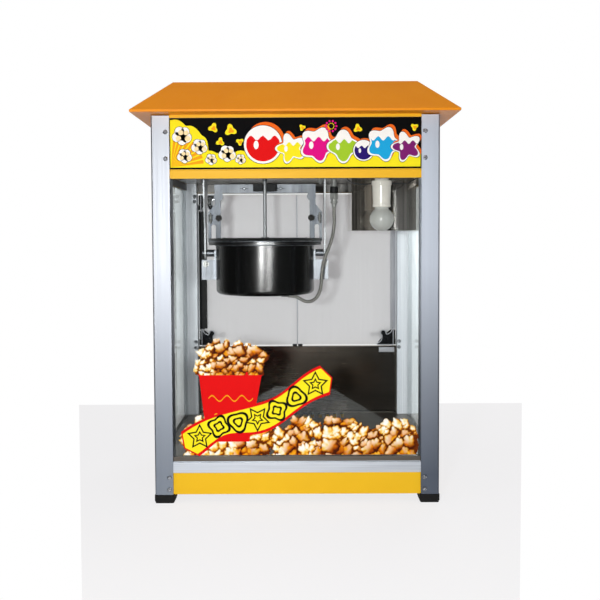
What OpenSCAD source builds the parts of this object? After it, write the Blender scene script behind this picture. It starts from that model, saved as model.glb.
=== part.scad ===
// Countertop popcorn maker: a glazed cabinet on four aluminium posts under a pyramid roof.
// A kettle with its yoke, lids and stirrer hangs from the ceiling and tilts to the front.
// X runs to the right, Y to the back, Z up. The origin is the middle of the footprint, on the table.

// The piece to draw, or all of them

/* [Cabinet] */
// Width over the posts
body_w = 500; // [420:5:600]
// Depth over the posts
body_d = 360; // [320:5:450]
// Height from the table to the top of the roof
body_h = 742; // [690:1:820]
// Side of a square post
post_w = 32; // [28:1:40]
// Rounding of a post's outer edge
post_r = 3; // [1:0.5:6]
// Height of the rubber feet
foot_h = 15; // [8:1:30]
// How far a foot stands proud of its post outside
foot_proud = 1; // [0:0.5:3]
// Side of a foot
foot_w = 35; // [32:1:42]

/* [Heights] */
// Height of the yellow skirt
skirt_h = 38.5; // [25:0.5:60]
// Height of the aluminium trim strip
trim_h = 18.5; // [10:0.5:30]
// Height of the steel sill in front of the glass
sill_h = 8.5; // [8:0.5:14]
// Height of the rail under the sign
rail_h = 14.5; // [10:0.5:25]
// Height of the sign
sign_h = 88; // [60:1:120]
// Height of the lip over the sign
lip_h = 6; // [4:0.5:12]
// Height of the wall below the doors, from the tray floor
rear_wall_h = 147; // [100:1:200]

/* [Sheets and glass] */
// Thickness of the glass
glass_t = 4; // [3:0.5:6]
// Distance of the glass from the outer face of the posts
glass_in = 5; // [4:0.5:8]
// Depth that the glass sits in a post
glass_grip = 7; // [4:0.5:8]
// Thickness of painted sheet
sheet_t = 1.5; // [1:0.1:2]
// Thickness of stainless sheet
steel_t = 1.2; // [0.8:0.1:1.5]

/* [Roof] */
// Overhang of the roof beyond the posts
roof_over = 30; // [10:1:60]
// Height of the roof's upright edge
roof_edge = 4; // [3:0.5:10]
// Height of the roof's slope
roof_rise = 58; // [30:1:90]
// How far the slope runs inward
roof_run = 64; // [30:1:100]

/* [Kettle] */
// Distance of the kettle's middle from the cabinet's middle, to the left
kettle_off = 62; // [40:1:70]
// Outer diameter of the jacket
jacket_d = 193; // [150:1:195]
// Diameter of the rim
rim_d = 220; // [200:1:222]
// Height of the jacket
jacket_h = 102; // [80:1:110]
// Rounding of the jacket's lower edge
jacket_r = 9; // [4:1:14]
// Distance of the trunnions below the ceiling
pivot_drop = 147; // [139:1:159]
// Diameter of a trunnion
trunnion_d = 8; // [6:0.5:10]
// Distance from the kettle's middle to each hanger
hanger_off = 117.5; // [114:0.5:122]
// Diameter of the stirrer shaft
shaft_d = 7; // [6:0.5:8]
// Diameter of the handle's grip
grip_d = 17; // [14:1:20]
// Length of the handle's grip
grip_l = 90; // [70:5:110]

/* [Lamp] */
// Distance of the lamp from the cabinet's right side
lamp_side = 90; // [70:1:110]
// Distance of the lamp in front of the middle
lamp_fwd = 76; // [50:1:100]
// Diameter of the bulb
bulb_d = 45; // [40:1:50]
// Depth of the lamp holder below the ceiling
holder_h = 61; // [50:1:70]
// Diameter of the lamp holder
holder_d = 35; // [32:1:40]

/* [Doors and drawer] */
// Thickness of a door panel
door_t = 4; // [3:0.5:5]
// Height of a hinge
hinge_h = 34; // [26:1:44]
// Diameter of a hinge barrel
barrel_d = 10; // [8:0.5:12]
// Diameter of a hinge pin
hinge_pin_d = 5; // [3:0.5:6]
// Half width of the crumb drawer
drawer_half = 149; // [100:1:180]
// Height of the crumb drawer
drawer_h = 36; // [20:1:38]

/* [Hidden] */

$fn = 64;
fine = 360;
cut = 1;
play = 0.3;
fit = 0.05;

// Colours
orange = [0.85, 0.5, 0.1];
yellow = [0.97, 0.78, 0.15];
aluminium = [0.78, 0.8, 0.83];
steel = [0.62, 0.62, 0.63];
dark_steel = [0.25, 0.25, 0.26];
black = [0.05, 0.05, 0.05];
porcelain = [0.93, 0.92, 0.9];
clear = [0.8, 0.88, 0.9, 0.3];
zinc = [0.72, 0.73, 0.75];

// Levels above the table; the window takes what the other heights leave
skirt_z = foot_h;
trim_z = skirt_z + skirt_h;
sill_step = 1.5;
sign_gap = 2;
under_window = foot_h + skirt_h + trim_h + sill_step + sill_h;
over_window = rail_h + sign_gap + sign_h + lip_h + roof_edge + roof_rise;
window_h = body_h - under_window - over_window;
sill_z = trim_z + trim_h + sill_step;
floor_z = sill_z + sill_h - 2;
rail_z = sill_z + sill_h + window_h;
ceiling_z = rail_z + rail_h;
sign_z = ceiling_z + sign_gap;
header_z = sign_z + sign_h + lip_h;
post_top = header_z - 2;
rear_sill_z = floor_z + rear_wall_h;
glass_z = sill_z + steel_t + play;
glass_top = ceiling_z - 6;

// Plan
half_w = body_w / 2;
half_d = body_d / 2;
bay_w = body_w - 2 * post_w;
bay_d = body_d - 2 * post_w;
glass_out = glass_in + glass_t;
groove_play = 0.2;
groove_depth = glass_grip + 1;
plate_in = glass_in + sheet_t;
channel_back = glass_out + 1;
tab_l = glass_grip;

// Kettle levels
kx = -kettle_off;
pivot_z = ceiling_z - pivot_drop;
jacket_half = jacket_d / 2;
rim_half = rim_d / 2;
jacket_z = pivot_z + 22.5 - jacket_h;
rim_top = jacket_z + jacket_h + sheet_t;
pan_gap = 12;
pan_z = jacket_z + sheet_t + pan_gap;
pan_half = jacket_half - 4.5;
strip_half = 8.8;
strip_t = 3;
lid_hinge_y = 12.5;
lid_hinge_z = rim_top + 3.5;
lid_knuckle_d = 4.4;
lid_pin_d = 3;
lid_ear_x = 80;
lid_ear_w = 3;
shaft_top = ceiling_z - 7;
yoke_y = 5.5;
yoke_t = 3;
yoke_bar_h = 17;
yoke_bar_top = ceiling_z - 11.5;
yoke_inner = 88;
yoke_outer = 113;
hanger_t = 3;

// Doors
door_y = half_d - door_t;
door_z = rear_sill_z + 2;
rear_header_z = ceiling_z - 20;
door_top = rear_header_z - 2;
hinge_x = half_w - post_w - barrel_d / 2;
hinge_y = half_d + 4;
hinge_zs = [door_z - 1, door_top - hinge_h];
hinge_base_part = 12;
door_edge = hinge_x - 7;
door_mid = 1.5;
knob_x = 22;
knob_z = door_z + 171;

// Screws, by their height on each post
skirt_screws = [9, skirt_h - 8];
sign_screws = [18, sign_h - 24];
screw_z = [for (h = skirt_screws) skirt_z + h, for (h = sign_screws) sign_z + h];
screw_in = post_w - 6.5;
screw_d = 4;
screw_head_d = 8;
screw_head_h = 2.4;
hinge_screw_in = 28;
hinge_screw_z = [door_z - 2, door_z + 11, door_top - 16, door_top - 5];

// Switches on the rear header
switch_z = sign_z + 44;
switch_xs = [-120, -70, -20];
rocker_w = 15;
rocker_r = 11.5;
rocker_tilt = 7;
housing_w = 22;
housing_h = 30;
inlet_x = 140;

// A conduit's route and the wires' routes, chosen by hand
conduit_d = 7;
conduit_x = 73;
conduit_y = -30;
conduit_drop = 59;
conduit_route = [
    [73, -30, 525], [73, -30, 512], [73.4, -30, 500], [72.6, -30, 486], [70, -30, 470],
    [65, -30, 453], [59, -30, 438], [53.5, -30, 422], [50, -30, 406], [48.5, -30, 390],
    [47.5, -30, 376], [44.5, -30, 362], [38, -30, 350], [28, -30, 343.5], [17, -30, 343],
    [7, -30, 348], [-2, -30, 352.6], [-10, -30, 353.8], [-16, -30, 353.8]
];
wire_d = 2;
lamp_x = half_w - lamp_side;
wire_left = [
    [-19.2, 0, -17], [-28, 0, -18], [-40, 0, -18], [-52, 2, -16], [-62, 4, -10], [-65, 4, -3], [-65, 4, -0.4]
];
wire_right = [
    [19.2, 0, -17], [28, 0, -17], [40, 0, -17], [52, 2, -15], [62, 4, -9], [65, 4, -3], [65, 4, -0.4]
];
gland_x = -16;
gland_l = 14;

// A box from its lowest to its highest corner
module block(low, high) {
    translate(low) cube(high - low);
}

// Children drawn for the left front corner, with its outer corner at the origin, at corner sx, sy
module at_corner(sx, sy) {
    mirror([sx > 0 ? 1 : 0, 0, 0])
        mirror([0, sy > 0 ? 1 : 0, 0])
            translate([-half_w, -half_d, 0]) children();
}

// A profile of depth and height, run along the front, the back or one side
module front_run(length) {
    translate([0, -half_d, 0]) rotate([90, 0, 90]) linear_extrude(length, center = true) children();
}

module rear_run(length) {
    mirror([0, 1, 0]) front_run(length) children();
}

module side_run(side, length) {
    rotate([0, 0, side * 90]) translate([0, -half_w, 0])
        rotate([90, 0, 90]) linear_extrude(length, center = true) children();
}

// A profile's rectangle from depth d0 to d1 and from height z0 to z1
module bar2d(d0, d1, z0, z1) {
    translate([d0, z0]) square([d1 - d0, z1 - z0]);
}

// The half outline of a round vessel with a rounded lower edge
module vessel2d(r, z0, z1, round_r) {
    translate([0, z0]) square([r - round_r, z1 - z0]);
    translate([0, z0 + round_r]) square([r, z1 - z0 - round_r]);
    translate([r - round_r, z0 + round_r]) circle(round_r);
}

// A tube of diameter d along a route, as rings of sides corners
function unit(v) = v / norm(v);
function heading(p, i) = unit(p[min(i + 1, len(p) - 1)] - p[max(i - 1, 0)]);
function across(h) = unit(cross(h, [0, 1, 0.01]));
module tube(route, d, sides) {
    n = len(route);
    points = [
        for (i = [0 : n - 1], k = [0 : sides - 1])
            let (h = heading(route, i), a = across(h), b = cross(h, a), t = 360 * k / sides)
                route[i] + d / 2 * (a * cos(t) + b * sin(t))
    ];
    walls = [
        for (i = [0 : n - 2], k = [0 : sides - 1])
            let (l = (k + 1) % sides)
                [i * sides + k, (i + 1) * sides + k, (i + 1) * sides + l, i * sides + l]
    ];
    start = [[for (k = [0 : sides - 1]) k]];
    end = [[for (k = [0 : sides - 1]) n * sides - 1 - k]];
    polyhedron(points, concat(start, walls, end));
}

// Posts: square tubes with two grooves for the glass, and holes for their screws
module post_profile() {
    low = glass_in - groove_play;
    high = glass_out + groove_play;
    core = high + 2.5;
    difference() {
        union() {
            translate([post_r, 0]) square([post_w - post_r, post_w]);
            translate([0, post_r]) square([post_w, post_w - post_r]);
            translate([post_r, post_r]) circle(post_r);
        }
        translate([low, post_w - groove_depth]) square([high - low, groove_depth + cut]);
        translate([post_w - groove_depth, low]) square([groove_depth + cut, high - low]);
        translate([core, core]) square(post_w - 2.5 - core);
    }
}

module face_screws(r, depth) {
    for (z = screw_z) {
        translate([screw_in, 0, z]) rotate([90, 0, 0]) translate([0, 0, -depth]) cylinder(r = r, h = depth);
        translate([0, screw_in, z]) rotate([0, -90, 0]) translate([0, 0, -depth]) cylinder(r = r, h = depth);
    }
}

module post(sx, sy) {
    color(aluminium)
        at_corner(sx, sy) difference() {
            translate([0, 0, foot_h]) linear_extrude(post_top - foot_h) post_profile();
            face_screws(screw_d / 2 + 0.1, glass_in + cut);
            if (sy > 0) {
                for (z = hinge_screw_z) {
                    translate([hinge_screw_in, post_w - 4, z]) rotate([-90, 0, 0])
                        cylinder(r = screw_d / 2 + 0.1, h = 4 + cut);
                }
            }
        }
}

module left_front_post() {
    post(-1, -1);
}

module right_front_post() {
    post(1, -1);
}

module left_rear_post() {
    post(-1, 1);
}

module right_rear_post() {
    post(1, 1);
}

// Feet: rubber caps, narrower at the table
module rubber_feet() {
    chamfer = 3;
    color(black)
        for (sx = [-1, 1], sy = [-1, 1]) {
            at_corner(sx, sy) translate([-foot_proud, -foot_proud, 0]) hull() {
                translate([0, 0, chamfer]) cube([foot_w, foot_w, foot_h - chamfer]);
                translate([chamfer / 2, chamfer / 2, 0]) cube([foot_w - chamfer, foot_w - chamfer, 1]);
            }
        }
}

module screw() {
    step_h = screw_head_h / 2;
    cylinder(r = screw_head_d / 2, h = step_h);
    translate([0, 0, step_h]) cylinder(r1 = screw_head_d / 2, r2 = screw_head_d / 3.2, h = step_h);
}

module post_screws() {
    thread_l = glass_in - groove_play - 0.2;
    color(zinc) {
        for (sx = [-1, 1], sy = [-1, 1]) {
            at_corner(sx, sy) {
                face_screws(screw_d / 2, thread_l);
                for (z = screw_z) {
                    translate([screw_in, 0, z]) rotate([90, 0, 0]) screw();
                    translate([0, screw_in, z]) rotate([0, -90, 0]) screw();
                }
            }
        }
        for (sx = [-1, 1], z = hinge_screw_z) {
            at_corner(sx, 1) translate([hinge_screw_in, post_w, z]) rotate([-90, 0, 0]) {
                screw();
                translate([0, 0, -2]) cylinder(r = screw_d / 2, h = 2);
            }
        }
    }
}

// Base: skirts with a flange below, a pan on the flanges, and trim strips on the skirts
skirt_in = glass_in - 2;
flange_l = 15;

module skirt_profile() {
    bar2d(skirt_in, plate_in, skirt_z, trim_z);
    bar2d(skirt_in, skirt_in + flange_l, skirt_z, skirt_z + sheet_t);
}

module end_tabs2d(z0, z1) {
    bar2d(glass_in, plate_in, z0, z1);
}

module front_skirt() {
    color(yellow) {
        front_run(bay_w) skirt_profile();
        front_run(bay_w + 2 * tab_l) end_tabs2d(skirt_z + 4, trim_z - 4);
    }
}

module side_skirts() {
    color(yellow)
        for (side = [-1, 1]) {
            side_run(side, bay_d) skirt_profile();
            side_run(side, bay_d + 2 * tab_l) end_tabs2d(skirt_z + 4, trim_z - 4);
        }
}

// A flat plate inside the skirts and headers, cut out around the posts
module inner_plate(z, t) {
    difference() {
        block([-half_w + plate_in, -half_d + plate_in, z], [half_w - plate_in, half_d - plate_in, z + t]);
        for (sx = [-1, 1], sy = [-1, 1]) {
            at_corner(sx, sy) block([-cut, -cut, z - cut], [post_w, post_w, z + t + cut]);
        }
    }
}

module base_pan() {
    color(steel) inner_plate(skirt_z + sheet_t, sheet_t);
}

trim_in = 1.5;
trim_wall = 2;

module trim_profile() {
    back = channel_back + steel_t + 0.4;
    difference() {
        union() {
            bar2d(trim_in, glass_in, trim_z, trim_z + trim_h);
            bar2d(glass_in, back, trim_z, sill_z);
        }
        bar2d(trim_in + trim_wall, back - trim_wall, trim_z - cut, trim_z + trim_h - trim_wall);
    }
}

module front_trim() {
    color(aluminium) front_run(bay_w) trim_profile();
}

module side_trims() {
    color(aluminium) for (side = [-1, 1]) side_run(side, bay_d) trim_profile();
}

drawer_play = 3;
drawer_z = skirt_z + 2 * sheet_t + play;

module rear_lower_panel() {
    color(yellow)
        difference() {
            union() {
                rear_run(bay_w) bar2d(glass_in, plate_in, skirt_z, rear_sill_z);
                rear_run(bay_w) bar2d(glass_in, plate_in + flange_l, skirt_z, skirt_z + sheet_t);
                rear_run(bay_w + 2 * tab_l) end_tabs2d(skirt_z + 4, rear_sill_z - 4);
            }
            block(
                [-drawer_half - drawer_play, half_d - plate_in - cut, skirt_z + 2 * sheet_t],
                [drawer_half + drawer_play, half_d, drawer_z + drawer_h + drawer_play]
            );
        }
}

// Tray: a floor with a channel for the glass on three sides, and slots that sift the kernels
slot_w = 7;
slot_pitch = 16;
slot_half_count = 6;
slot_front = 113;
slot_rear = 157;
floor_rear = 162;
hem_h = 2;
hem_in = 6;

module sill_profile() {
    lip = glass_in - steel_t - 0.4;
    back = channel_back + steel_t - 0.4;
    bar2d(lip, lip + steel_t, sill_z, sill_z + sill_h);
    bar2d(lip, back, sill_z, sill_z + steel_t);
    bar2d(back - steel_t, back, sill_z, floor_z);
}

module tray_floor() {
    edge = channel_back - 0.4;
    color(steel) {
        difference() {
            block(
                [-half_w + edge, -half_d + edge, floor_z - steel_t],
                [half_w - edge, floor_rear, floor_z]
            );
            for (sx = [-1, 1], sy = [-1, 1]) {
                at_corner(sx, sy) block(
                    [0, 0, floor_z - steel_t - cut],
                    [post_w + play, post_w + play, floor_z + cut]
                );
            }
            for (i = [-slot_half_count : slot_half_count]) {
                translate([i * slot_pitch - slot_w / 2, slot_front, floor_z - steel_t - cut])
                    cube([slot_w, slot_rear - slot_front, steel_t + 2 * cut]);
            }
        }
        block(
            [-bay_w / 2 + hem_in, floor_rear - steel_t, floor_z - steel_t],
            [bay_w / 2 - hem_in, floor_rear, floor_z + hem_h]
        );
        front_run(bay_w - 2 * play) sill_profile();
        for (side = [-1, 1]) side_run(side, bay_d - 2 * play) sill_profile();
    }
}

rear_drop = 6;
sill_block_h = 14;
sill_front = 16.5;

module rear_wall_profile() {
    wall = 11;
    bar2d(wall, wall + steel_t, floor_z - rear_drop, rear_sill_z - sill_block_h + steel_t);
    bar2d(wall, sill_front, rear_sill_z - sill_block_h, rear_sill_z - sill_block_h + steel_t);
    bar2d(sill_front - steel_t, sill_front, rear_sill_z - sill_block_h, rear_sill_z);
    bar2d(plate_in, sill_front, rear_sill_z - steel_t, rear_sill_z);
}

module rear_inner_wall() {
    color(steel) {
        rear_run(bay_w) rear_wall_profile();
        // a clip plate on the sill's front, below the right hinge
        block(
            [bay_w / 2 - 40, half_d - sill_front - 1, rear_sill_z - sill_block_h - 2],
            [bay_w / 2 - 4, half_d - sill_front, rear_sill_z - sill_block_h + 5]
        );
    }
}

module glass_profile() {
    bar2d(glass_in, glass_out, glass_z, glass_top);
}

module front_glass() {
    color(clear) front_run(bay_w + 2 * glass_grip) glass_profile();
}

module left_glass() {
    color(clear) side_run(-1, bay_d + 2 * glass_grip) glass_profile();
}

module right_glass() {
    color(clear) side_run(1, bay_d + 2 * glass_grip) glass_profile();
}

// Headers: a rail that takes the glass from below, a plate behind the sign, and a lip over it
module header_profile() {
    rail_in = 2;
    back = channel_back + sheet_t;
    bar2d(rail_in, rail_in + sheet_t, rail_z, ceiling_z);
    bar2d(rail_in, back, ceiling_z - sheet_t, ceiling_z);
    bar2d(back - sheet_t, back, rail_z, ceiling_z);
    bar2d(glass_in, plate_in, ceiling_z, header_z);
    bar2d(trim_in, plate_in, header_z - lip_h, header_z);
    bar2d(glass_in, post_w - 2, header_z - sheet_t, header_z);
}

module front_header() {
    color(yellow) {
        front_run(bay_w) header_profile();
        front_run(bay_w + 2 * tab_l) end_tabs2d(sign_z + 8, header_z - 16);
    }
}

module side_headers() {
    color(yellow)
        for (side = [-1, 1]) {
            side_run(side, bay_d) header_profile();
            side_run(side, bay_d + 2 * tab_l) end_tabs2d(sign_z + 8, header_z - 16);
        }
}

sign_t = 2;

module sign_profile() {
    bar2d(glass_in - sign_t, glass_in, sign_z, sign_z + sign_h);
}

module front_sign() {
    color(black) front_run(bay_w - 1) sign_profile();
}

module side_signs() {
    color(black) for (side = [-1, 1]) side_run(side, bay_d - 1) sign_profile();
}

inlet_w = 28;
inlet_h = 22;

module rear_header() {
    color(yellow)
        difference() {
            union() {
                rear_run(bay_w) bar2d(glass_in, plate_in, rear_header_z, header_z);
                rear_run(bay_w) bar2d(glass_in, post_w - 2, header_z - sheet_t, header_z);
                rear_run(bay_w) bar2d(glass_in, glass_in + flange_l, rear_header_z, rear_header_z + sheet_t);
                rear_run(bay_w + 2 * tab_l) end_tabs2d(sign_z + 8, header_z - 16);
            }
            for (x = switch_xs) {
                translate([x, half_d - glass_in, switch_z]) cube([housing_w - 2, 3 * cut + 2, housing_h - 2], center = true);
            }
            translate([inlet_x, half_d - glass_in, switch_z]) cube([inlet_w, 3 * cut + 2, inlet_h], center = true);
        }
}

hub_d = 9;
hole_play = 2;

module ceiling_plate() {
    color(steel)
        difference() {
            inner_plate(ceiling_z, sheet_t);
            translate([kx, 0, ceiling_z - cut]) cylinder(d = hub_d + 2 * hole_play, h = sheet_t + 2 * cut);
        }
}

// Roof: a folded cap with an upright edge and a flange that rests on the headers
module roof() {
    roof_w = body_w + 2 * roof_over;
    roof_d = body_d + 2 * roof_over;
    edge_z = header_z + roof_edge;
    top_z = edge_z + roof_rise;
    slim = 0.01;
    color(orange)
        difference() {
            hull() {
                block([-roof_w / 2, -roof_d / 2, header_z], [roof_w / 2, roof_d / 2, edge_z]);
                block(
                    [-roof_w / 2 + roof_run, -roof_d / 2 + roof_run, top_z - slim],
                    [roof_w / 2 - roof_run, roof_d / 2 - roof_run, top_z]
                );
            }
            hull() {
                block(
                    [-roof_w / 2 + sheet_t, -roof_d / 2 + sheet_t, header_z + sheet_t],
                    [roof_w / 2 - sheet_t, roof_d / 2 - sheet_t, edge_z - sheet_t / 2]
                );
                block(
                    [-roof_w / 2 + roof_run + sheet_t, -roof_d / 2 + roof_run + sheet_t, top_z - sheet_t - slim],
                    [roof_w / 2 - roof_run - sheet_t, roof_d / 2 - roof_run - sheet_t, top_z - sheet_t]
                );
            }
            block(
                [-half_w + post_w, -half_d + post_w, header_z - cut],
                [half_w - post_w, half_d - post_w, header_z + 2 * sheet_t]
            );
        }
}

// Drive above the ceiling
gearbox_l = 76;
gearbox_w = 60;
gearbox_h = 40;
gearbox_wall = 3;
gear_d = gearbox_w - 2 * gearbox_wall - 6;
gear_h = 10;

module gearbox() {
    ear_l = 12;
    half_l = gearbox_l / 2;
    half_wide = gearbox_w / 2;
    wall = gearbox_wall;
    color(aluminium)
        translate([kx, 0, ceiling_z + sheet_t]) difference() {
            union() {
                block([-half_l, -half_wide, 0], [half_l, half_wide, gearbox_h]);
                block([-half_l - ear_l, -half_wide, 0], [half_l + ear_l, half_wide, wall]);
            }
            block(
                [-half_l + wall, -half_wide + wall, wall],
                [half_l - wall, half_wide - wall, gearbox_h - wall]
            );
            translate([0, 0, -cut]) cylinder(d = hub_d + 2 * fit, h = wall + 2 * cut);
        }
}

module drive_motor() {
    can_d = 56;
    can_h = 48;
    motor_z = ceiling_z + sheet_t + gearbox_h;
    color(dark_steel)
        translate([kx + 8, 0, motor_z]) {
            cylinder(d = can_d, h = can_h);
            cylinder(d = 16, h = can_h + 8);
        }
}

module drive_hub() {
    low = shaft_top + 0.5;
    gear_z = ceiling_z + sheet_t + gearbox_wall + 1;
    high = ceiling_z + sheet_t + gearbox_h - gearbox_wall - 1;
    color(steel) {
        translate([kx, 0, low]) cylinder(d = hub_d, h = high - low);
        translate([kx, 0, gear_z]) cylinder(d = gear_d, h = gear_h);
    }
}

// Hangers: plates that carry the kettle's trunnions
module hanger(side) {
    foot_l = 18;
    eye_r = trunnion_d / 2 + 8;
    top_half = 25;
    color(steel)
        translate([kx + side * hanger_off, 0, 0]) {
            difference() {
                rotate([90, 0, 90]) linear_extrude(hanger_t, center = true) {
                    translate([0, pivot_z]) circle(eye_r);
                    polygon([
                        [-eye_r, pivot_z], [eye_r, pivot_z], [eye_r, pivot_z + 50],
                        [top_half, ceiling_z - 40], [top_half, ceiling_z],
                        [-top_half, ceiling_z], [-top_half, ceiling_z - 40], [-eye_r, pivot_z + 50]
                    ]);
                }
                translate([0, 0, pivot_z]) rotate([0, 90, 0])
                    cylinder(d = trunnion_d + 2 * fit, h = hanger_t + 2 * cut, center = true);
            }
            block([-foot_l, -top_half, ceiling_z - hanger_t], [0, top_half, ceiling_z]);
        }
}

module left_hanger() {
    hanger(-1);
}

module right_hanger() {
    hanger(1);
}

// Lamp: a porcelain holder with an open lower end, and a globe bulb in it
cap_d = 26;
cap_l = 24;

module lamp_holder() {
    low = ceiling_z - holder_h;
    color(porcelain)
        translate([lamp_x, -lamp_fwd, 0]) difference() {
            union() {
                translate([0, 0, low]) cylinder(d = holder_d - 1, h = 3);
                translate([0, 0, low]) cylinder(d1 = holder_d - 2.5, d2 = holder_d, h = holder_h - 21);
                translate([0, 0, ceiling_z - 21]) cylinder(d = holder_d + 2.5, h = 9);
                translate([0, 0, ceiling_z - 12]) cylinder(d = holder_d - 9, h = 12);
            }
            translate([0, 0, low - cut]) cylinder(d = cap_d + 1, h = cap_l + cut);
        }
}

module lamp_bulb() {
    low = ceiling_z - holder_h;
    drop = bulb_d / 2;
    color(porcelain)
        translate([lamp_x, -lamp_fwd, 0]) {
            rotate_extrude() intersection() {
                translate([0, low - drop]) circle(bulb_d / 2);
                translate([0, low - 2 * bulb_d]) square([bulb_d, 3 * bulb_d]);
            }
            translate([0, 0, low - 5]) cylinder(d = cap_d, h = cap_l + 5);
        }
}

module lamp_wires() {
    color(black)
        translate([lamp_x, -lamp_fwd, ceiling_z]) {
            tube(wire_left, wire_d, 8);
            tube(wire_right, wire_d, 8);
        }
}

// A mirror-bright box that covers the switch wiring, in the rear right corner
box_left = 110;
box_front = 14;
box_h = 104;

module wiring_box() {
    right = half_w - channel_back - sheet_t - play;
    rear = half_d - post_w - screw_head_h - 0.6;
    color(steel)
        difference() {
            block([box_left, box_front, ceiling_z - box_h], [right, rear, ceiling_z]);
            block(
                [box_left + steel_t, box_front + steel_t, ceiling_z - box_h + steel_t],
                [right - steel_t, rear - steel_t, ceiling_z + cut]
            );
        }
}

module conduit_socket() {
    color(steel)
        translate([conduit_x, conduit_y, ceiling_z - conduit_drop]) {
            cylinder(d = 18, h = 8);
            translate([0, 0, 8]) cylinder(d = 12, h = 3);
            translate([0, 0, 11]) cylinder(d = 15, h = 10, $fn = 6);
            translate([0, 0, 21]) cylinder(d = 10, h = 14);
            translate([0, 0, 35]) cylinder(d = 20, h = conduit_drop - 35);
        }
}

module kettle_conduit() {
    color(steel) tube(conduit_route, conduit_d, 12);
}

// Rear doors: clear panels on black hinges with scrolls
module hinge_place(side, z) {
    translate([side * hinge_x, hinge_y, z]) children();
}

module hinge_bases() {
    plate_t = hinge_y - half_d;
    color(black)
        for (side = [-1, 1], z = hinge_zs) {
            hinge_place(side, z) {
                cylinder(d = barrel_d, h = hinge_base_part);
                cylinder(d = hinge_pin_d, h = hinge_h);
                mirror([side > 0 ? 0 : 1, 0, 0]) {
                    block([0, -plate_t, 0], [barrel_d / 2 + 1.5, plate_t - 1, hinge_base_part]);
                    block([barrel_d / 2 + 1, -plate_t, 0], [barrel_d / 2 + 22, 0, hinge_h]);
                }
            }
        }
}

module scroll2d(height) {
    mid = height / 2;
    hull() {
        translate([-13, mid]) circle(9);
        translate([-28, mid - 3]) circle(6);
    }
    hull() {
        translate([-28, mid - 3]) circle(5);
        translate([-46, mid + 1]) circle(4);
    }
    translate([-48, mid + 1]) circle(6);
}

// One door's moving leaves, drawn for the right door
module hinge_leaves(side) {
    clip_t = 4;
    arm_z = hinge_base_part + 1;
    arm_h = hinge_h - arm_z - 1;
    panel_y = door_y - hinge_y;
    edge = door_edge - hinge_x;
    color(black)
        for (z = hinge_zs) {
            hinge_place(side, z) mirror([side > 0 ? 0 : 1, 0, 0]) difference() {
                union() {
                    translate([0, 0, hinge_base_part + play])
                        cylinder(d = barrel_d, h = hinge_h - hinge_base_part - play);
                    block([edge - 44, panel_y + door_t, arm_z], [0, panel_y + door_t + clip_t, arm_z + arm_h]);
                    block(
                        [edge + 0.2, panel_y - clip_t, arm_z],
                        [edge + 2.5, panel_y + door_t + clip_t, arm_z + arm_h]
                    );
                    translate([edge + 7, panel_y, 0]) rotate([90, 0, 0])
                        linear_extrude(clip_t) scroll2d(hinge_h + hinge_base_part);
                    block([edge - 6, panel_y - clip_t, arm_z], [edge + 2.5, panel_y, arm_z + arm_h]);
                }
                translate([0, 0, -cut]) cylinder(d = hinge_pin_d + 2 * fit, h = hinge_h + 2 * cut);
            }
        }
}

module left_hinge_leaves() {
    hinge_leaves(-1);
}

module right_hinge_leaves() {
    hinge_leaves(1);
}

knob_pin_d = 5;

module door(side) {
    color(clear)
        mirror([side > 0 ? 0 : 1, 0, 0]) difference() {
            block([door_mid, door_y, door_z], [door_edge, door_y + door_t, door_top]);
            translate([knob_x, door_y - cut, knob_z]) rotate([-90, 0, 0])
                cylinder(d = knob_pin_d + 2 * fit, h = door_t + 2 * cut);
        }
}

module left_door() {
    door(-1);
}

module right_door() {
    door(1);
}

module left_door_strip() {
    wall = 1.6;
    grip = 6;
    low = hinge_zs[0] + hinge_h + 4;
    high = hinge_zs[1] - 4;
    color(black)
        difference() {
            block(
                [-door_edge - grip, door_y - wall, low],
                [-door_edge + grip, door_y + door_t + wall, high]
            );
            block([-door_edge, door_y, low - cut], [-door_edge + grip + cut, door_y + door_t, high + cut]);
        }
}

module door_knob(side) {
    color(black)
        translate([side * knob_x, 0, knob_z]) rotate([-90, 0, 0]) {
            translate([0, 0, door_y - 2.5]) cylinder(d = 9, h = 2.5);
            translate([0, 0, door_y]) cylinder(d = knob_pin_d, h = door_t);
            translate([0, 0, door_y + door_t]) cylinder(d1 = 9, d2 = 17, h = 9);
            translate([0, 0, door_y + door_t + 9]) cylinder(d1 = 17, d2 = 14, h = 4);
        }
}

module left_door_knob() {
    door_knob(-1);
}

module right_door_knob() {
    door_knob(1);
}

module door_magnets() {
    color(black)
        for (side = [-1, 1]) {
            translate([side * 6 - 5, door_y - 5 - play, rear_sill_z]) cube([10, 5, 4]);
        }
}

// Rear header fittings
module power_inlet() {
    pin_l = 9;
    deep = 24;
    color(black)
        translate([inlet_x, half_d - glass_in, switch_z]) {
            difference() {
                union() {
                    translate([0, 1, 0]) cube([inlet_w + 12, 2, inlet_h + 8], center = true);
                    translate([0, 2 - deep / 2, 0]) cube([inlet_w - 1, deep, inlet_h - 1], center = true);
                }
                translate([0, 2 - pin_l, 0]) cube([inlet_w - 5, 2 * pin_l, inlet_h - 5], center = true);
            }
            for (x = [-7, 0, 7]) {
                translate([x, 2 - 2 * pin_l, x == 0 ? 3 : -2]) rotate([-90, 0, 0])
                    cylinder(d = 2.4, h = 2 * pin_l - 3);
            }
        }
}

rocker_y = half_d - glass_in - 4;

module rocker_place(i) {
    translate([switch_xs[i], rocker_y, switch_z]) children();
}

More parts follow.
